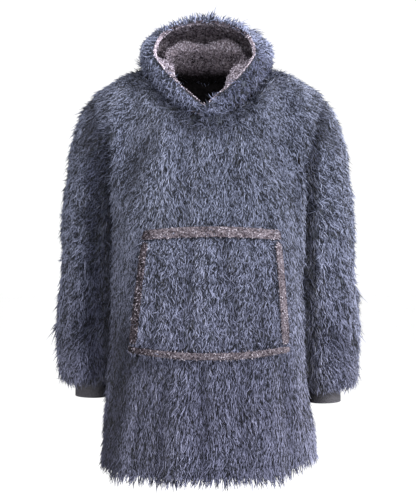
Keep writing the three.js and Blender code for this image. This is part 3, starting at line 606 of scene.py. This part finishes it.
def prepare_pile(sheet, comb, growth=1.0, length=1.0, lift=1.0, mess=1.0, fold=0.0):
    """Writes on a sheet which way its pile lies and how it varies, for the growing tree.

    fold is painted shade, which the material darkens the pile by; below 0 it is a painted highlight,
    and on the pocket's bands it is partly random tone.
    """
    data = sheet.data
    rows = unit(comb).astype(np.float32).ravel()
    data.attributes.new("comb", "FLOAT_VECTOR", "POINT").data.foreach_set("vector", rows)
    facts = {"growth": growth, "length": length, "lift": lift, "mess": mess, "fold": fold}
    for name, value in facts.items():
        rows = np.broadcast_to(value, len(data.vertices)).astype(np.float32)
        data.attributes.new(name, "FLOAT", "POINT").data.foreach_set("value", rows)


def grow(name, sheet, seed, material, **sizes):
    """Grows pile on a prepared sheet and returns it as a plain mesh of its own."""
    return made_by(PILE, name, sheet.data, {**sizes, "Seed": seed, "Material": material})


def ease(low, high, value):
    """0 below low, 1 above high, and a soft step between."""
    t = np.clip((value - low) / (high - low), 0, 1)
    return t * t * (3 - 2 * t)


def rough(values):
    """Uneven numbers between 0 and 1 that change smoothly along the values."""
    return 0.5 + 0.25 * np.sin(values) + 0.25 * np.sin(values * 2.3 + 1.7)


def body_comb(points):
    """Down the body, and outwards over the shoulders, away from the neck."""
    x, z = points[:, 0], points[:, 2]
    out = np.sign(x) * ease(0.02, 0.2, np.abs(x)) * ease(-0.42, -0.06, z) * 1.1
    sway = 0.16 * np.sin(x * 34 + z * 9) + 0.10 * np.sin(z * 41 - x * 13)
    return np.column_stack([out + sway, np.zeros(len(x)), -np.ones(len(x))])


NECK_HALF_WIDTH = 0.13
NECK_TOP = 0.008  # the height of the neck seam at the shoulders
NECK_DROP = 0.105  # and how far it comes down in front
NECK_FRONT_Y = 0.02  # what lies before this belongs to the front


def near_neck(points):
    """1 beside the neck seam, where the pile is curled and stands up, and 0 away from it."""
    x, y, z = points.T
    share = np.clip(np.abs(x) / NECK_HALF_WIDTH, 0, 1)
    seam = np.where(y < NECK_FRONT_Y, NECK_TOP - NECK_DROP * (1 - share**1.9), 0.0)
    away = np.hypot(np.maximum(0, np.abs(x) - NECK_HALF_WIDTH), np.maximum(0, seam - z))
    return 1 - ease(0.018, 0.062, away)


def past_armhole(points, side):
    """How far out each point is of the plane of the armhole on one side."""
    return (points - ARMHOLE_MIDDLE * (side, 1, 1)) @ (np.array(SLEEVE_WAY) * (side, 1, 1))


def body_edges(points):
    """The hem is higher than the tips that hang over it, and the armholes go into the sleeves."""
    moved = points.copy()
    rise = HEM_RAISED + sum(up * ease(a, b, points[:, 0]) for a, b, up in HEM_RISES)
    moved[:, 2] += rise * ease(*HEM_BAND, points[:, 2])
    for side in (-1, 1):
        near = np.linalg.norm(points - ARMHOLE_MIDDLE * (side, 1, 1), axis=1) < ARMHOLE_REACH
        edge = near & (past_armhole(points, side) > -ARMHOLE_EDGE)
        moved[edge] += np.array(SLEEVE_WAY) * (side, 1, 1) * SLEEVE_OVERLAP
    return moved


BODY_PANELS = {
    "front": {"seen_y": -1, "creases": CREASES_FRONT, "flat": (0.76, 0.85), "area": 0.58, "seed": 3},
    "back": {"seen_y": 1, "creases": CREASES_BACK, "flat": (0.66, 0.86), "area": 0.50, "seed": 5},
}
BODY_PILE = {"Length": 0.022, "Lift": 0.22, "Mess": 0.32, "Wave": 0.7}
FRONT_PILE = {"Width": 0.0027, "Spacing": 0.0018, "Locks per area": 130000.0}
BACK_PILE = {"Width": 0.0042, "Spacing": 0.0034, "Locks per area": 44000.0}
ARMHOLE_MIDDLE = np.array((0.213, 0.02, -0.1465))
SLEEVE_WAY = (0.978, 0.0, -0.207)  # out of the armhole, for the wearer's left
ARMHOLE_EDGE = 0.006  # how far from the armhole's plane its edge may lie
ARMHOLE_REACH = 0.16  # and how far from its middle
FRONT_SPLIT = -0.46  # the front's pile is two pieces, above and below this height
ANY_HEIGHT = 9.0


def declare(cloth, node, pile):
    """Hides the solid that a cloth stands for, and attaches the cloth and its pile to the root body."""
    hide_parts(node)
    for piece in (cloth, *pile):
        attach(piece, "root")


for name, panel in BODY_PANELS.items():
    face = one_face(name, (0, panel["seen_y"], -0.4), lambda p: Vector((0, 0.02, p.z)))
    sheet = cloth_sheet(
        name + "_sheet",
        face,
        PILE_OVER_CLOTH,
        2,
        lambda p, n, creases=panel["creases"]: creased(p, n, creases, 0),
        body_edges,
    )
    cloth = cloth_shell(name + "_cloth", sheet, BACKING, backing_cloth, painted_shadow_inner_cloth)
    points, _ = read_points(sheet.data)
    curly = near_neck(points)
    x, y, z = points.T
    low = ease(-0.45, -0.75, z)
    hem = ease(-0.80, -0.84, z) * rough(x * 60) * rough(x * 170 + 2)
    at_sleeve = np.linalg.norm((np.abs(x), y, z) - ARMHOLE_MIDDLE[:, None], axis=0)
    out = np.where(x > 0, past_armhole(points, 1), past_armhole(points, -1))
    armhole = ease(-0.020, -0.004, out) * ease(0.19, 0.16, at_sleeve)
    # Painted shade in the creases, weaker towards +X, the side that the key light reaches.
    painted_crease_shade = crease_depth(points, panel["creases"], 0) * (1 - 0.7 * ease(0.0, 0.1, x))
    under_pocket = ease(0.15, 0.13, np.abs(x)) * ease(-0.60, -0.57, z) * ease(-0.34, -0.37, z)
    prepare_pile(
        sheet,
        body_comb(points),
        growth=1 - 0.9 * under_pocket * (name == "front"),
        length=(0.85 + 0.30 * low + 0.60 * hem) * (1 + 0.1 * curly),
        lift=(1 - 0.25 * ease(-0.25, -0.05, z)) * (1 + 1.6 * curly + 0.5 * armhole),
        mess=(1 - 0.3 * low) * (1 + 3.0 * curly),
        # Painted shade by the neck seam under the hood, beside the armholes and in the creases; the
        # pile is also made darker towards the hem.
        fold=painted_crease_shade * 130 + 0.75 * curly + 0.25 * armhole + 0.12 * low,
    )
    sizes, bands = BACK_PILE, {"all": (-ANY_HEIGHT, ANY_HEIGHT)}
    if name == "front":
        sizes = FRONT_PILE
        bands = {"upper": (FRONT_SPLIT, ANY_HEIGHT), "lower": (-ANY_HEIGHT, FRONT_SPLIT)}
    pile = []
    for band, (lowest, highest) in bands.items():
        sizes = {**BODY_PILE, **sizes, "Lowest": lowest, "Highest": highest}
        pile.append(grow(f"{name}_pile_{band}", sheet, panel["seed"], fur_locks, **sizes))
    bpy.data.objects.remove(sheet)
    declare(cloth, name, pile)

# Sleeves
# Each sleeve is one panel, dropped from the end of the shoulder, sewn to itself along the
# underside and gathered into the cuff. Its pile lies outwards and down.
SLEEVE_PILE = {"Length": 0.025, "Width": 0.0034, "Lift": 0.24, "Mess": 0.34, "Wave": 0.9}
SLEEVE_SIZES = {"Spacing": 0.0022, "Locks per area": 84000.0}
SLEEVE_CREASES = [  # y and z of both ends, half its width and depth
    (-0.05, -0.14, 0.01, -0.20, 0.016, 0.005),
    (-0.06, -0.33, 0.02, -0.37, 0.014, 0.005),
    (0.02, -0.44, 0.08, -0.50, 0.016, 0.006),
    (-0.05, -0.53, 0.00, -0.60, 0.014, 0.005),
    (0.05, -0.20, 0.09, -0.28, 0.016, 0.005),
]
SLEEVE_TUCK = 0.014
SLEEVE_TUCK_SHRINK = 0.03
SLEEVE_BEND = math.radians(62)
SLEEVE_ENDS = {1: -0.672, -1: -0.660}  # the height at which each turns in to its cuff
SLEEVE_SHADOWS = {1: (0.231, 0.222), -1: (0.270, 0.238)}  # how far out the body shades each
TUCKED_BARE = -0.006  # further in than this the tucked edge has no pile
for side, name in ((1, "sleeve_left"), (-1, "sleeve_right")):

    def heart(place, side=side):
        share = min(1, max(0, (-0.1 - place.z) / 0.4))
        return Vector((side * (0.215 + 0.037 * share), 0.024, place.z))

    def into_armhole(points, side=side):
        """The seam's edge goes on under the cloth of the body."""
        moved = points.copy()
        edge = past_armhole(points, side) < ARMHOLE_EDGE
        moved[edge] -= np.array(SLEEVE_WAY) * (side, 1, 1) * SLEEVE_TUCK
        moved[edge] += (ARMHOLE_MIDDLE * (side, 1, 1) - moved[edge]) * SLEEVE_TUCK_SHRINK
        return moved

    face = one_face(name, (side, 0.024, -0.4), heart, SLEEVE_BEND)
    sheet = cloth_sheet(
        name + "_sheet",
        face,
        PILE_OVER_CLOTH,
        2,
        lambda p, n: creased(p, n, SLEEVE_CREASES, 1),
        into_armhole,
    )
    cloth = cloth_shell(name + "_cloth", sheet, BACKING, backing_cloth, painted_shadow_inner_cloth)
    points, _ = read_points(sheet.data)
    x, y, z = points.T
    outward = side * (0.35 + 0.75 * ease(-0.5, -0.12, z))
    sway = 0.18 * np.sin(z * 37 + y * 21)
    comb = np.column_stack([outward + sway, 0.12 * np.sin(z * 29), -np.ones(len(x))])
    mouth = z - SLEEVE_ENDS[side]
    clumps = rough(z * 150 + y * 60) ** 2 * rough(z * 67 - y * 40 + 1) ** 2
    clumps = clumps * ease(0.02, 0.06, mouth)
    # Painted shadow: the body's shadow darkens the inner side of each sleeve, and painted shade darkens
    # it by the armhole.
    painted_body_shadow = ease(*SLEEVE_SHADOWS[side], np.abs(x)) * ease(-0.08, -0.12, z)
    painted_body_shadow = np.maximum(painted_body_shadow, 0.7 * ease(0.028, 0.012, past_armhole(points, side)))
    hidden = np.maximum(0.5 * ease(0.03, 0.08, y), 0.7 * ease(0.215, 0.195, np.abs(x)))
    hidden = np.maximum(hidden, past_armhole(points, side) < TUCKED_BARE)
    prepare_pile(
        sheet,
        comb,
        growth=(1 - hidden) * (0.3 + 0.7 * ease(0.0, 0.012, mouth)),
        length=(0.85 + 0.40 * ease(0.30, 0.02, mouth)) * (1 + 0.7 * clumps),
        lift=(1 + 0.3 * ease(0.06, 0.01, mouth)) * (1 + 1.1 * clumps),
        mess=1 - 0.25 * ease(0.45, 0.1, mouth),
        # Painted shade in the creases, with the body's painted shadow.
        fold=crease_depth(points, SLEEVE_CREASES, 1) * 130 + painted_body_shadow,
    )
    pile = grow(name + "_pile", sheet, 17 + side, fur_locks, **SLEEVE_PILE, **SLEEVE_SIZES)
    bpy.data.objects.remove(sheet)
    declare(cloth, name, [pile])

# Hood
# Two halves in the same shaggy cloth, joined along the crown and sewn round the neck. The pile
# stands out all round the face and on the crown.
HOOD_PILE = {"Length": 0.018, "Width": 0.0032, "Lift": 0.20, "Mess": 0.3, "Wave": 0.6}
HOOD_SIZES = {"Spacing": 0.0020, "Locks per area": 120000.0}
TUFTS = [  # x and z on the crown, how far each reaches and how much longer its locks are
    (-0.026, 0.104, 0.008, 0.6),
    (0.003, 0.106, 0.007, 1.2),
    (0.036, 0.104, 0.007, 0.5),
    (0.060, 0.099, 0.008, 0.9),
    (0.088, 0.086, 0.009, 0.7),
    (-0.090, 0.078, 0.010, 0.5),
    (0.118, 0.050, 0.012, 0.5),
    (0.138, 0.008, 0.012, 0.6),
    (-0.136, 0.004, 0.012, 1.0),
]
# Painted light: the hood's fur is the body's fur drawn 2.15 times as bright, a lit copy for the light
# on the hood.
painted_lit_hood_locks = fur_material("painted_lit_hood_locks", 2.15)
HOOD_BACKING = 0.0025
PILE_OVER_HOOD = 0.005
HOOD_CREASES = [  # x and z of both ends, half its width and depth
    (0.118, -0.010, 0.075, -0.070, 0.012, 0.003),
    (-0.060, 0.110, -0.075, 0.075, 0.010, 0.003),
    (0.085, 0.100, 0.100, 0.060, 0.010, 0.002),
]
FACE_MIDDLE = np.array([-0.007, -0.08, 0.03])
NECK_TUCK = 0.012
NECK_DROP_BEHIND = 0.010


def seam_height(points):
    """The height of the neck seam beside each point."""
    share = np.clip(np.abs(points[:, 0]) / NECK_HALF_WIDTH, 0, 1)
    drop = np.where(points[:, 1] < NECK_FRONT_Y, NECK_DROP, NECK_DROP_BEHIND)
    return NECK_TOP - drop * (1 - share**2) ** 0.625


def into_neck(points):
    """The seam's edge goes on under the cloth of the body."""
    moved = points.copy()
    moved[:, 2] -= NECK_TUCK * ease(0.008, 0.002, moved[:, 2] - seam_height(moved))
    return moved


def tufts(points):
    """How much longer the locks are at each point, in the few tufts that stand out."""
    x, _, z = points.T
    return sum(more * np.exp(-(np.hypot(x - a, z - b) / far) ** 2) for a, b, far, more in TUFTS)


for side, name in ((1, "hood_left"), (-1, "hood_right")):
    face = one_face(name, (side * 0.6, 0.3, 0.3), lambda p: Vector((-0.004, 0.02, 0.03)))
    sheet = cloth_sheet(
        name + "_sheet",
        face,
        PILE_OVER_HOOD,
        2,
        lambda p, n: creased(p, n, HOOD_CREASES, 0),
        into_neck,
    )
    cloth = cloth_shell(name + "_cloth", sheet, HOOD_BACKING, backing_cloth, painted_shadow_inner_cloth)
    points, _ = read_points(sheet.data)
    z = points[:, 2]
    comb = unit(points - FACE_MIDDLE) + 0.75 * np.array([0, 1, -0.1])
    seam = near_neck(points) * ease(0.06, 0.0, z)
    comb = comb * (1 - 0.6 * seam[:, None]) + seam[:, None] * np.array([0, -0.2, -0.6])
    tuft = tufts(points)
    # Painted shade: the half at +X and the crown are darkened.
    shaded = 0.42 * ease(0.0, 0.10, points[:, 0]) + 0.25 * ease(0.05, 0.09, z)
    comb = comb + tuft[:, None] * 2.0 * unit((points - FACE_MIDDLE) * (1, 0.3, 1))
    prepare_pile(
        sheet,
        comb,
        growth=ease(-0.008, -0.003, z - seam_height(points)),
        mess=1 + 2.6 * seam,
        length=1 + tuft,
        lift=1 + 1.6 * tuft + 1.2 * seam,
        # Painted shade in the creases, at the neck seam, and on that half and the crown.
        fold=crease_depth(points, HOOD_CREASES, 0) * 110 + 0.75 * seam + shaded,
    )
    pile = grow(name + "_pile", sheet, 31 + side, painted_lit_hood_locks, **HOOD_PILE, **HOOD_SIZES)
    bpy.data.objects.remove(sheet)
    declare(cloth, name, [pile])

# Lining of the hood
# The same two halves again in short curled plush. The crown has slumped into a soft roll behind
# the neck, and beside the face the lining is turned out as a facing.
PLUSH_STOPS = [(0.05, (0.004, 0.003, 0.004)), (0.45, (0.185, 0.156, 0.195)), (0.95, (0.57, 0.53, 0.62))]
GROUND_STOPS = [(0.1, (0.004, 0.003, 0.004)), (0.35, (0.08, 0.066, 0.08)), (0.7, (0.30, 0.26, 0.30))]
# Painted shade: how far the plush's level drops for each unit of painted shade that its cloth carries.
PAINTED_SHADE_DARKER = 0.26


def out_of_neck(tree, place):
    """0 deep in the neck at the back, where no light comes, and 1 up on the roll and in front."""
    y, z = [add(tree, "ShaderNodeSeparateXYZ", {}, [place], k) for k in (1, 2)]
    smooth = {"interpolation_type": "SMOOTHSTEP"}
    risen = from_to(tree, z, -0.006, 0.028, smooth)
    ahead = from_to(tree, y, 0.0, -0.05, smooth)
    return risen.math("MAXIMUM", risen, ahead)


def plush_material(name, brightness=1.0):
    """Short curled pile: a warm mauve grey, with painted shade between the curls, where its cloth
    carries painted shade and deep in the neck.
    """
    made, tree = new_material(name)
    along, shade, fold = [attribute(tree, fact) for fact in ("along", "shade", "fold")]
    place = object_place(tree)
    curls, patches = noise(tree, 250.0, 1.0, place), noise(tree, 110.0, 1.0, place)
    level = along * 0.35 + shade * 0.55 + (patches - 0.5) * 1.3 + (curls - 0.5) * 2.0 + 0.10
    level = (level - fold * PAINTED_SHADE_DARKER) * out_of_neck(tree, place)
    colour = ramp(tree, level, PLUSH_STOPS, brightness)
    finish_material(tree, {"Base Color": colour, "Roughness": 0.85, "Specular IOR Level": 0.2})
    return made


def ground_material(name, brightness=1.0):
    """The plush between its curls, darker by painted shade where its cloth carries it and deep in the
    neck.
    """
    made, tree = new_material(name)
    place = object_place(tree)
    curls = noise(tree, 220.0, 3.0, place)
    level = curls * out_of_neck(tree, place) - attribute(tree, "fold") * PAINTED_SHADE_DARKER
    colour = ramp(tree, level, GROUND_STOPS, brightness)
    bump = add(tree, "ShaderNodeBump", {}, {"Height": curls, "Distance": 0.003})
    values = {"Base Color": colour, "Roughness": 0.95, "Specular IOR Level": 0.05, "Normal": bump}
    finish_material(tree, values)
    return made


plush_curls = plush_material("plush_curls")
plush_ground = ground_material("plush_ground")
PLUSH_THICK = 0.0016
CURLS_OVER_LINING = 0.002
HOOD_MIDDLE = Vector((-0.007, -0.05, 0.05))
LINING_PILE = {"Length": 0.0048, "Width": 0.0030, "Lift": 0.85, "Mess": 1.6, "Wave": 0.4}
LINING_SIZES = {"Spacing": 0.0022, "Locks per area": 110000.0}
for side, name in ((1, "hood_lining_left"), (-1, "hood_lining_right")):
    face = one_face(name, (side * 0.02 - 0.007, -0.03, 0.03), lambda p: 2 * p - HOOD_MIDDLE)
    sheet = cloth_sheet(name + "_sheet", face, CURLS_OVER_LINING, 1, lambda p, n: p, into_neck)
    cloth = cloth_shell(name + "_cloth", sheet, PLUSH_THICK, plush_ground, plush_ground)
    x, y, z = read_points(sheet.data)[0].T
    comb = np.column_stack([0.3 * np.sin(z * 90), -np.ones(len(z)), 0.4 * np.sin(x * 80)])
    # Painted shade on the lining back from the face; along the roll's crest it turns into a painted
    # highlight.
    crest = ease(0.046, 0.058, z) * ease(0.080, 0.068, z)
    prepare_pile(sheet, comb, fold=1.05 * ease(-0.05, -0.01, y) * (1 - 2.0 * crest))
    pile = grow(name + "_pile", sheet, 41 + side, plush_curls, **LINING_PILE, **LINING_SIZES)
    bpy.data.objects.remove(sheet)
    declare(cloth, name, [pile])

# Edge of the hood
# A narrow strip of the same plush, folded over the raw edges of the hood and its lining, frames
# the face.
EDGE_PILE = {"Length": 0.0026, "Width": 0.0026, "Lift": 0.5, "Mess": 0.9, "Wave": 0.3}
EDGE_SIZES = {"Spacing": 0.0018, "Locks per area": 170000.0}
OVER_EDGE_PILE = {"Length": 0.014, "Width": 0.0034, "Lift": 0.2, "Mess": 0.25, "Wave": 0.3}
OVER_EDGE_SIZES = {"Spacing": 0.0016, "Locks per area": 200000.0}
EDGE_INSET = 0.0025


def whole_sheet(name, node, inset):
    """A whole solid moved in and rounded."""
    return cloth_sheet(name, in_quads(merged(node), node + "_whole"), inset, 1, lambda p, n: p)


# Painted light: the edge's curls and ground are the lining's plush drawn about a third brighter, a lit
# copy for the light on the face's frame.
painted_lit_edge_curls = plush_material("painted_lit_edge_curls", 1.35)
edge_cloth = whole_sheet("hood_edge_cloth", "hood_edge", EDGE_INSET)
cover(edge_cloth, ground_material("painted_lit_edge_ground", 1.3))
points, normals = read_points(edge_cloth.data)
z = points[:, 2]
prepare_pile(
    edge_cloth,
    normals + np.array([0, -0.6, 0.1]),
    growth=1 - ease(0.080, 0.095, z),
    # painted shade on the edge's top, under the brushed pile
    fold=1.25 * ease(0.060, 0.085, z),
)
edge_pile = grow("hood_edge_pile", edge_cloth, 53, painted_lit_edge_curls, **EDGE_PILE, **EDGE_SIZES)
brushed = whole_sheet("hood_edge_brushed", "hood_edge", EDGE_INSET)
points, normals = read_points(brushed.data)
outward = unit(points - FACE_MIDDLE)
over = ease(0.074, 0.090, points[:, 2]) * (np.sum(normals * outward, axis=1) > -0.8)
tuft = tufts(points)
prepare_pile(
    brushed,
    outward * (1, 0.6, 1) + np.array([0, 0.25, 0]),
    growth=over,
    length=0.9 + 1.1 * tuft,
    lift=1 + tuft,
    mess=1 + tuft,
    # a flat painted shade on the brushed pile
    fold=0.4,
)
sizes = {**OVER_EDGE_PILE, **OVER_EDGE_SIZES}
over_edge = grow("hood_edge_brushed_pile", brushed, 54, painted_lit_hood_locks, **sizes)
bpy.data.objects.remove(brushed)
pile = [edge_pile, over_edge]
declare(edge_cloth, "hood_edge", pile)

# Pouch pocket
# One shaggy panel sewn to the front along its top and bottom, with the hands put in at its two
# open sides. Its pile is shorter and more curled than the body's.
POCKET_CREASES = [  # x and z of both ends, half its width and depth (a ridge is negative)
    (-0.030, -0.37, -0.050, -0.56, 0.010, 0.004),
    (0.030, -0.36, 0.055, -0.50, 0.012, 0.004),
    (0.003, -0.37, 0.000, -0.52, 0.014, -0.003),
    (-0.100, -0.40, -0.115, -0.56, 0.012, 0.003),
    (0.100, -0.46, 0.112, -0.58, 0.012, 0.003),
]
POCKET_PILE = {"Length": 0.018, "Width": 0.0030, "Lift": 0.28, "Mess": 0.35, "Wave": 0.8}
POCKET_SIZES = {"Spacing": 0.0021, "Locks per area": 110000.0}
PILE_OVER_POCKET = 0.005
POCKET_BACKING = 0.002
face = one_face("pocket", (0, -1, -0.46))
sheet = cloth_sheet(
    "pocket_sheet", face, PILE_OVER_POCKET, 2, lambda p, n: creased(p, n, POCKET_CREASES, 0)
)
cloth = cloth_shell("pocket_cloth", sheet, POCKET_BACKING, backing_cloth, painted_shadow_inner_cloth)
points, _ = read_points(sheet.data)
sway = 0.35 * np.sin(points[:, 2] * 160 + points[:, 0] * 50)
comb = np.column_stack([sway, 0 * sway, -np.ones(len(sway))])
# Painted shade in the pocket's creases.
prepare_pile(sheet, comb, fold=crease_depth(points, POCKET_CREASES, 0) * 150)
pile = grow("pocket_pile", sheet, 61, fur_locks, **POCKET_PILE, **POCKET_SIZES)
bpy.data.objects.remove(sheet)
declare(cloth, "pocket", [pile])

# Edging of the pocket
# Strips of the lining's plush laid round the pocket's four edges and stitched down.
# Painted shade: the bands' curls and ground are the lining's plush drawn at about half its brightness,
# a darker copy for how they are lit.
painted_shade_band_curls = plush_material("painted_shade_band_curls", 0.52)
painted_shade_band_ground = ground_material("painted_shade_band_ground", 0.5)
BAND_PILE = {"Length": 0.0040, "Width": 0.0030, "Lift": 0.8, "Mess": 1.5, "Wave": 0.4}
BAND_SIZES = {"Spacing": 0.0022, "Locks per area": 110000.0}
BAND_INSET = 0.001
BANDS = [  # name, flat size and seed
    ("pocket_band_top", (0.29, 0.022), 71),
    ("pocket_band_bottom", (0.34, 0.015), 72),
    ("pocket_band_right", (0.017, 0.235), 73),
    ("pocket_band_left", (0.017, 0.235), 74),
]
for name, flat, seed in BANDS:
    band = whole_sheet(name + "_cloth", name, BAND_INSET)
    cover(band, painted_shade_band_ground)
    points, normals = read_points(band.data)
    x, _, z = points.T
    prepare_pile(
        band,
        normals * 0.2 + np.array([0, -0.3, -0.5]),
        growth=(normals[:, 1] < 0.2).astype(float),
        # painted shade on the band at -X, and uneven random tone along every band
        fold=0.35 * rough(x * 90 + z * 70) + 0.8 * ease(-0.10, -0.14, x),
    )
    pile = grow(name + "_pile", band, seed, painted_shade_band_curls, **BAND_PILE, **BAND_SIZES)
    declare(band, name, [pile])

# Cuffs
# Ribbed knit tubes, doubled back on themselves at the lower edge, where one row of stitches
# holds the fold. The sleeve is gathered round the top of each.
CUFF_RIBS = 84
CUFF_AROUND = CUFF_RIBS * 2
RIB_DEPTH = 0.0005
CUFF_THICK = 0.003
CUFF_PROFILE = [  # share of the height, and how far out of the middle of the cloth
    (1.0, 0.5), (0.8, 0.5), (0.6, 0.55), (0.4, 0.55), (0.25, 0.5), (0.13, 0.4), (0.10, 0.34),
    (0.07, 0.4), (0.02, 0.45), (0.0, 0.1), (0.01, -0.4), (0.1, -0.5), (0.5, -0.5), (1.0, -0.5),
]
LOOP_ROWS = 34
KNIT_STOPS = [(0.2, (0.0205, 0.0195, 0.0245)), (0.85, (0.046, 0.0435, 0.0535))]
knit, tree = new_material("cuff_knit")
chart = add(tree, "ShaderNodeUVMap", {"uv_map": "knit"})
spots = add(tree, "ShaderNodeMapping", {}, {0: chart, 3: (CUFF_RIBS, LOOP_ROWS, 1.0)})
loops = add(tree, "ShaderNodeTexVoronoi", {"feature": "F1"}, {"Vector": spots, "Scale": 1.0})
level = loops * 0.6 + noise(tree, 1400.0, 2.0, object_place(tree)) * 0.5
colour = ramp(tree, level, KNIT_STOPS)
bump = add(tree, "ShaderNodeBump", {}, {"Height": level, "Distance": 0.0012})
finish_material(tree, {"Base Color": colour, "Roughness": 0.85, "Normal": bump})

CUFF_SEATED = 0.0008  # the knit lies this much inside its solid
CUFF_SLOPE = 0.0015  # how uneven its lower edge is
SLOPE_TURN = 0.8  # and how far round the cuff, in radians, the slope is turned
CUFF_FLARE = 0.0012  # how far it spreads at that edge
FLARE_REACH = 0.25  # share of the cuff's height
STITCH_ROW = (0.10, 0.34)  # the row of the profile that the stitches lie in
STITCH_PROUD = 0.0002  # how far they stand out of the knit
thread, tree = new_material("cuff_thread")
twist = noise(tree, 1800.0, 2.0, object_place(tree))
colour = ramp(tree, twist, [(0.3, (0.012, 0.012, 0.014)), (0.7, (0.055, 0.055, 0.062))])
finish_material(tree, {"Base Color": colour, "Roughness": 0.7})


STITCH_INPUTS = {  # what the stitching tree takes, and what each input starts as
    "Geometry": None,
    "Radius": 0.03,
    "Stitches": 58,
    "Stitch length": 0.0026,
    "Stitch radius": 0.0004,
    "Middle": (0.0, 0.0, 0.0),
    "Slope": (0.0, 0.0, 0.0),
    "Material": thread,
}


def stitch_tree():
    """Lays a ring of stitches: short threads end to end round a tube whose edge may slope."""
    tree, given = new_tree("stitches", STITCH_INPUTS)
    values = {"Vertices": given["Stitches"], "Radius": given["Radius"]}
    ring = add(tree, "GeometryNodeMeshCircle", {}, values)
    values = {"Vertices": 6, "Radius": given["Stitch radius"], "Depth": given["Stitch length"]}
    single = add(tree, "GeometryNodeMeshCylinder", {}, values)
    spot = add(tree, "GeometryNodeInputPosition")
    round_it = vector_math(tree, "CROSS_PRODUCT", (0.0, 0.0, 1.0), spot)
    turn = add(tree, "FunctionNodeAxesToRotation", AXES, [round_it, spot])
    values = {"Points": ring, "Instance": single, "Rotation": turn}
    placed = add(tree, "GeometryNodeInstanceOnPoints", {}, values)
    rise = vector_math(tree, "DOT_PRODUCT", spot, given["Slope"])
    up = add(tree, "ShaderNodeCombineXYZ", {}, {"Z": rise})
    moved = vector_math(tree, "ADD", given["Middle"], up)
    shifted = add(tree, "GeometryNodeSetPosition", {}, {"Geometry": placed, "Offset": moved})
    return end_tree(tree, shifted, given["Material"])


STITCHING = stitch_tree()
for side, name in ((1, "cuff_left"), (-1, "cuff_right")):
    low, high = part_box(name)
    middle, radius = (low + high) / 2, (high.x - low.x) / 2 - CUFF_THICK / 2
    rows, ring = len(CUFF_PROFILE), CUFF_AROUND
    turn = np.arange(ring) * 2 * math.pi / ring
    points = []
    for share, out in CUFF_PROFILE:
        rib = RIB_DEPTH * np.cos(CUFF_RIBS * turn) * (1 if 0.12 < share < 1 else 0.4)
        flare = CUFF_FLARE * math.exp(-((share / FLARE_REACH) ** 2))
        far = radius - CUFF_SEATED + out * CUFF_THICK + rib + flare
        slope = CUFF_SLOPE * np.sin(turn + SLOPE_TURN * side) * (1 - share)
        height = low.z + share * (high.z - low.z) + slope
        x, y = middle.x + far * np.cos(turn), middle.y + far * np.sin(turn)
        points.append(np.column_stack([x, y, height]))
    points = np.concatenate(points)
    faces, chart_corners = [], []
    for i in range(rows):
        for j in range(ring):
            k, m = (i + 1) % rows, (j + 1) % ring
            faces.append((i * ring + j, k * ring + j, k * ring + m, i * ring + m))
            u0, u1 = j / ring, (j + 1) / ring
            v0, v1 = i / rows, (i + 1) / rows
            chart_corners += [(u0, v0), (u0, v1), (u1, v1), (u1, v0)]
    mesh = bpy.data.meshes.new(name + "_knit")
    mesh.from_pydata(points.tolist(), [], faces)
    layer = mesh.uv_layers.new(name="knit")
    layer.data.foreach_set("uv", np.array(chart_corners, np.float32).ravel())
    mesh.materials.append(knit)
    mesh.update()
    mesh.shade_smooth()
    cuff = new_piece(name + "_knit", mesh)
    share, out = STITCH_ROW
    flare = CUFF_FLARE * math.exp(-((share / FLARE_REACH) ** 2))
    far = radius - CUFF_SEATED + flare + out * CUFF_THICK + STITCH_PROUD
    steep = CUFF_SLOPE * (1 - share) / far
    sizes = {
        "Radius": far,
        "Middle": (middle.x, middle.y, low.z + share * (high.z - low.z)),
        "Slope": (steep * math.sin(SLOPE_TURN * side), steep * math.cos(SLOPE_TURN * side), 0.0),
        "Material": thread,
    }
    empty = bpy.data.meshes.new("no_cloth")
    stitches = made_by(STITCHING, name + "_stitches", empty, sizes)
    declare(cuff, name, [stitches])
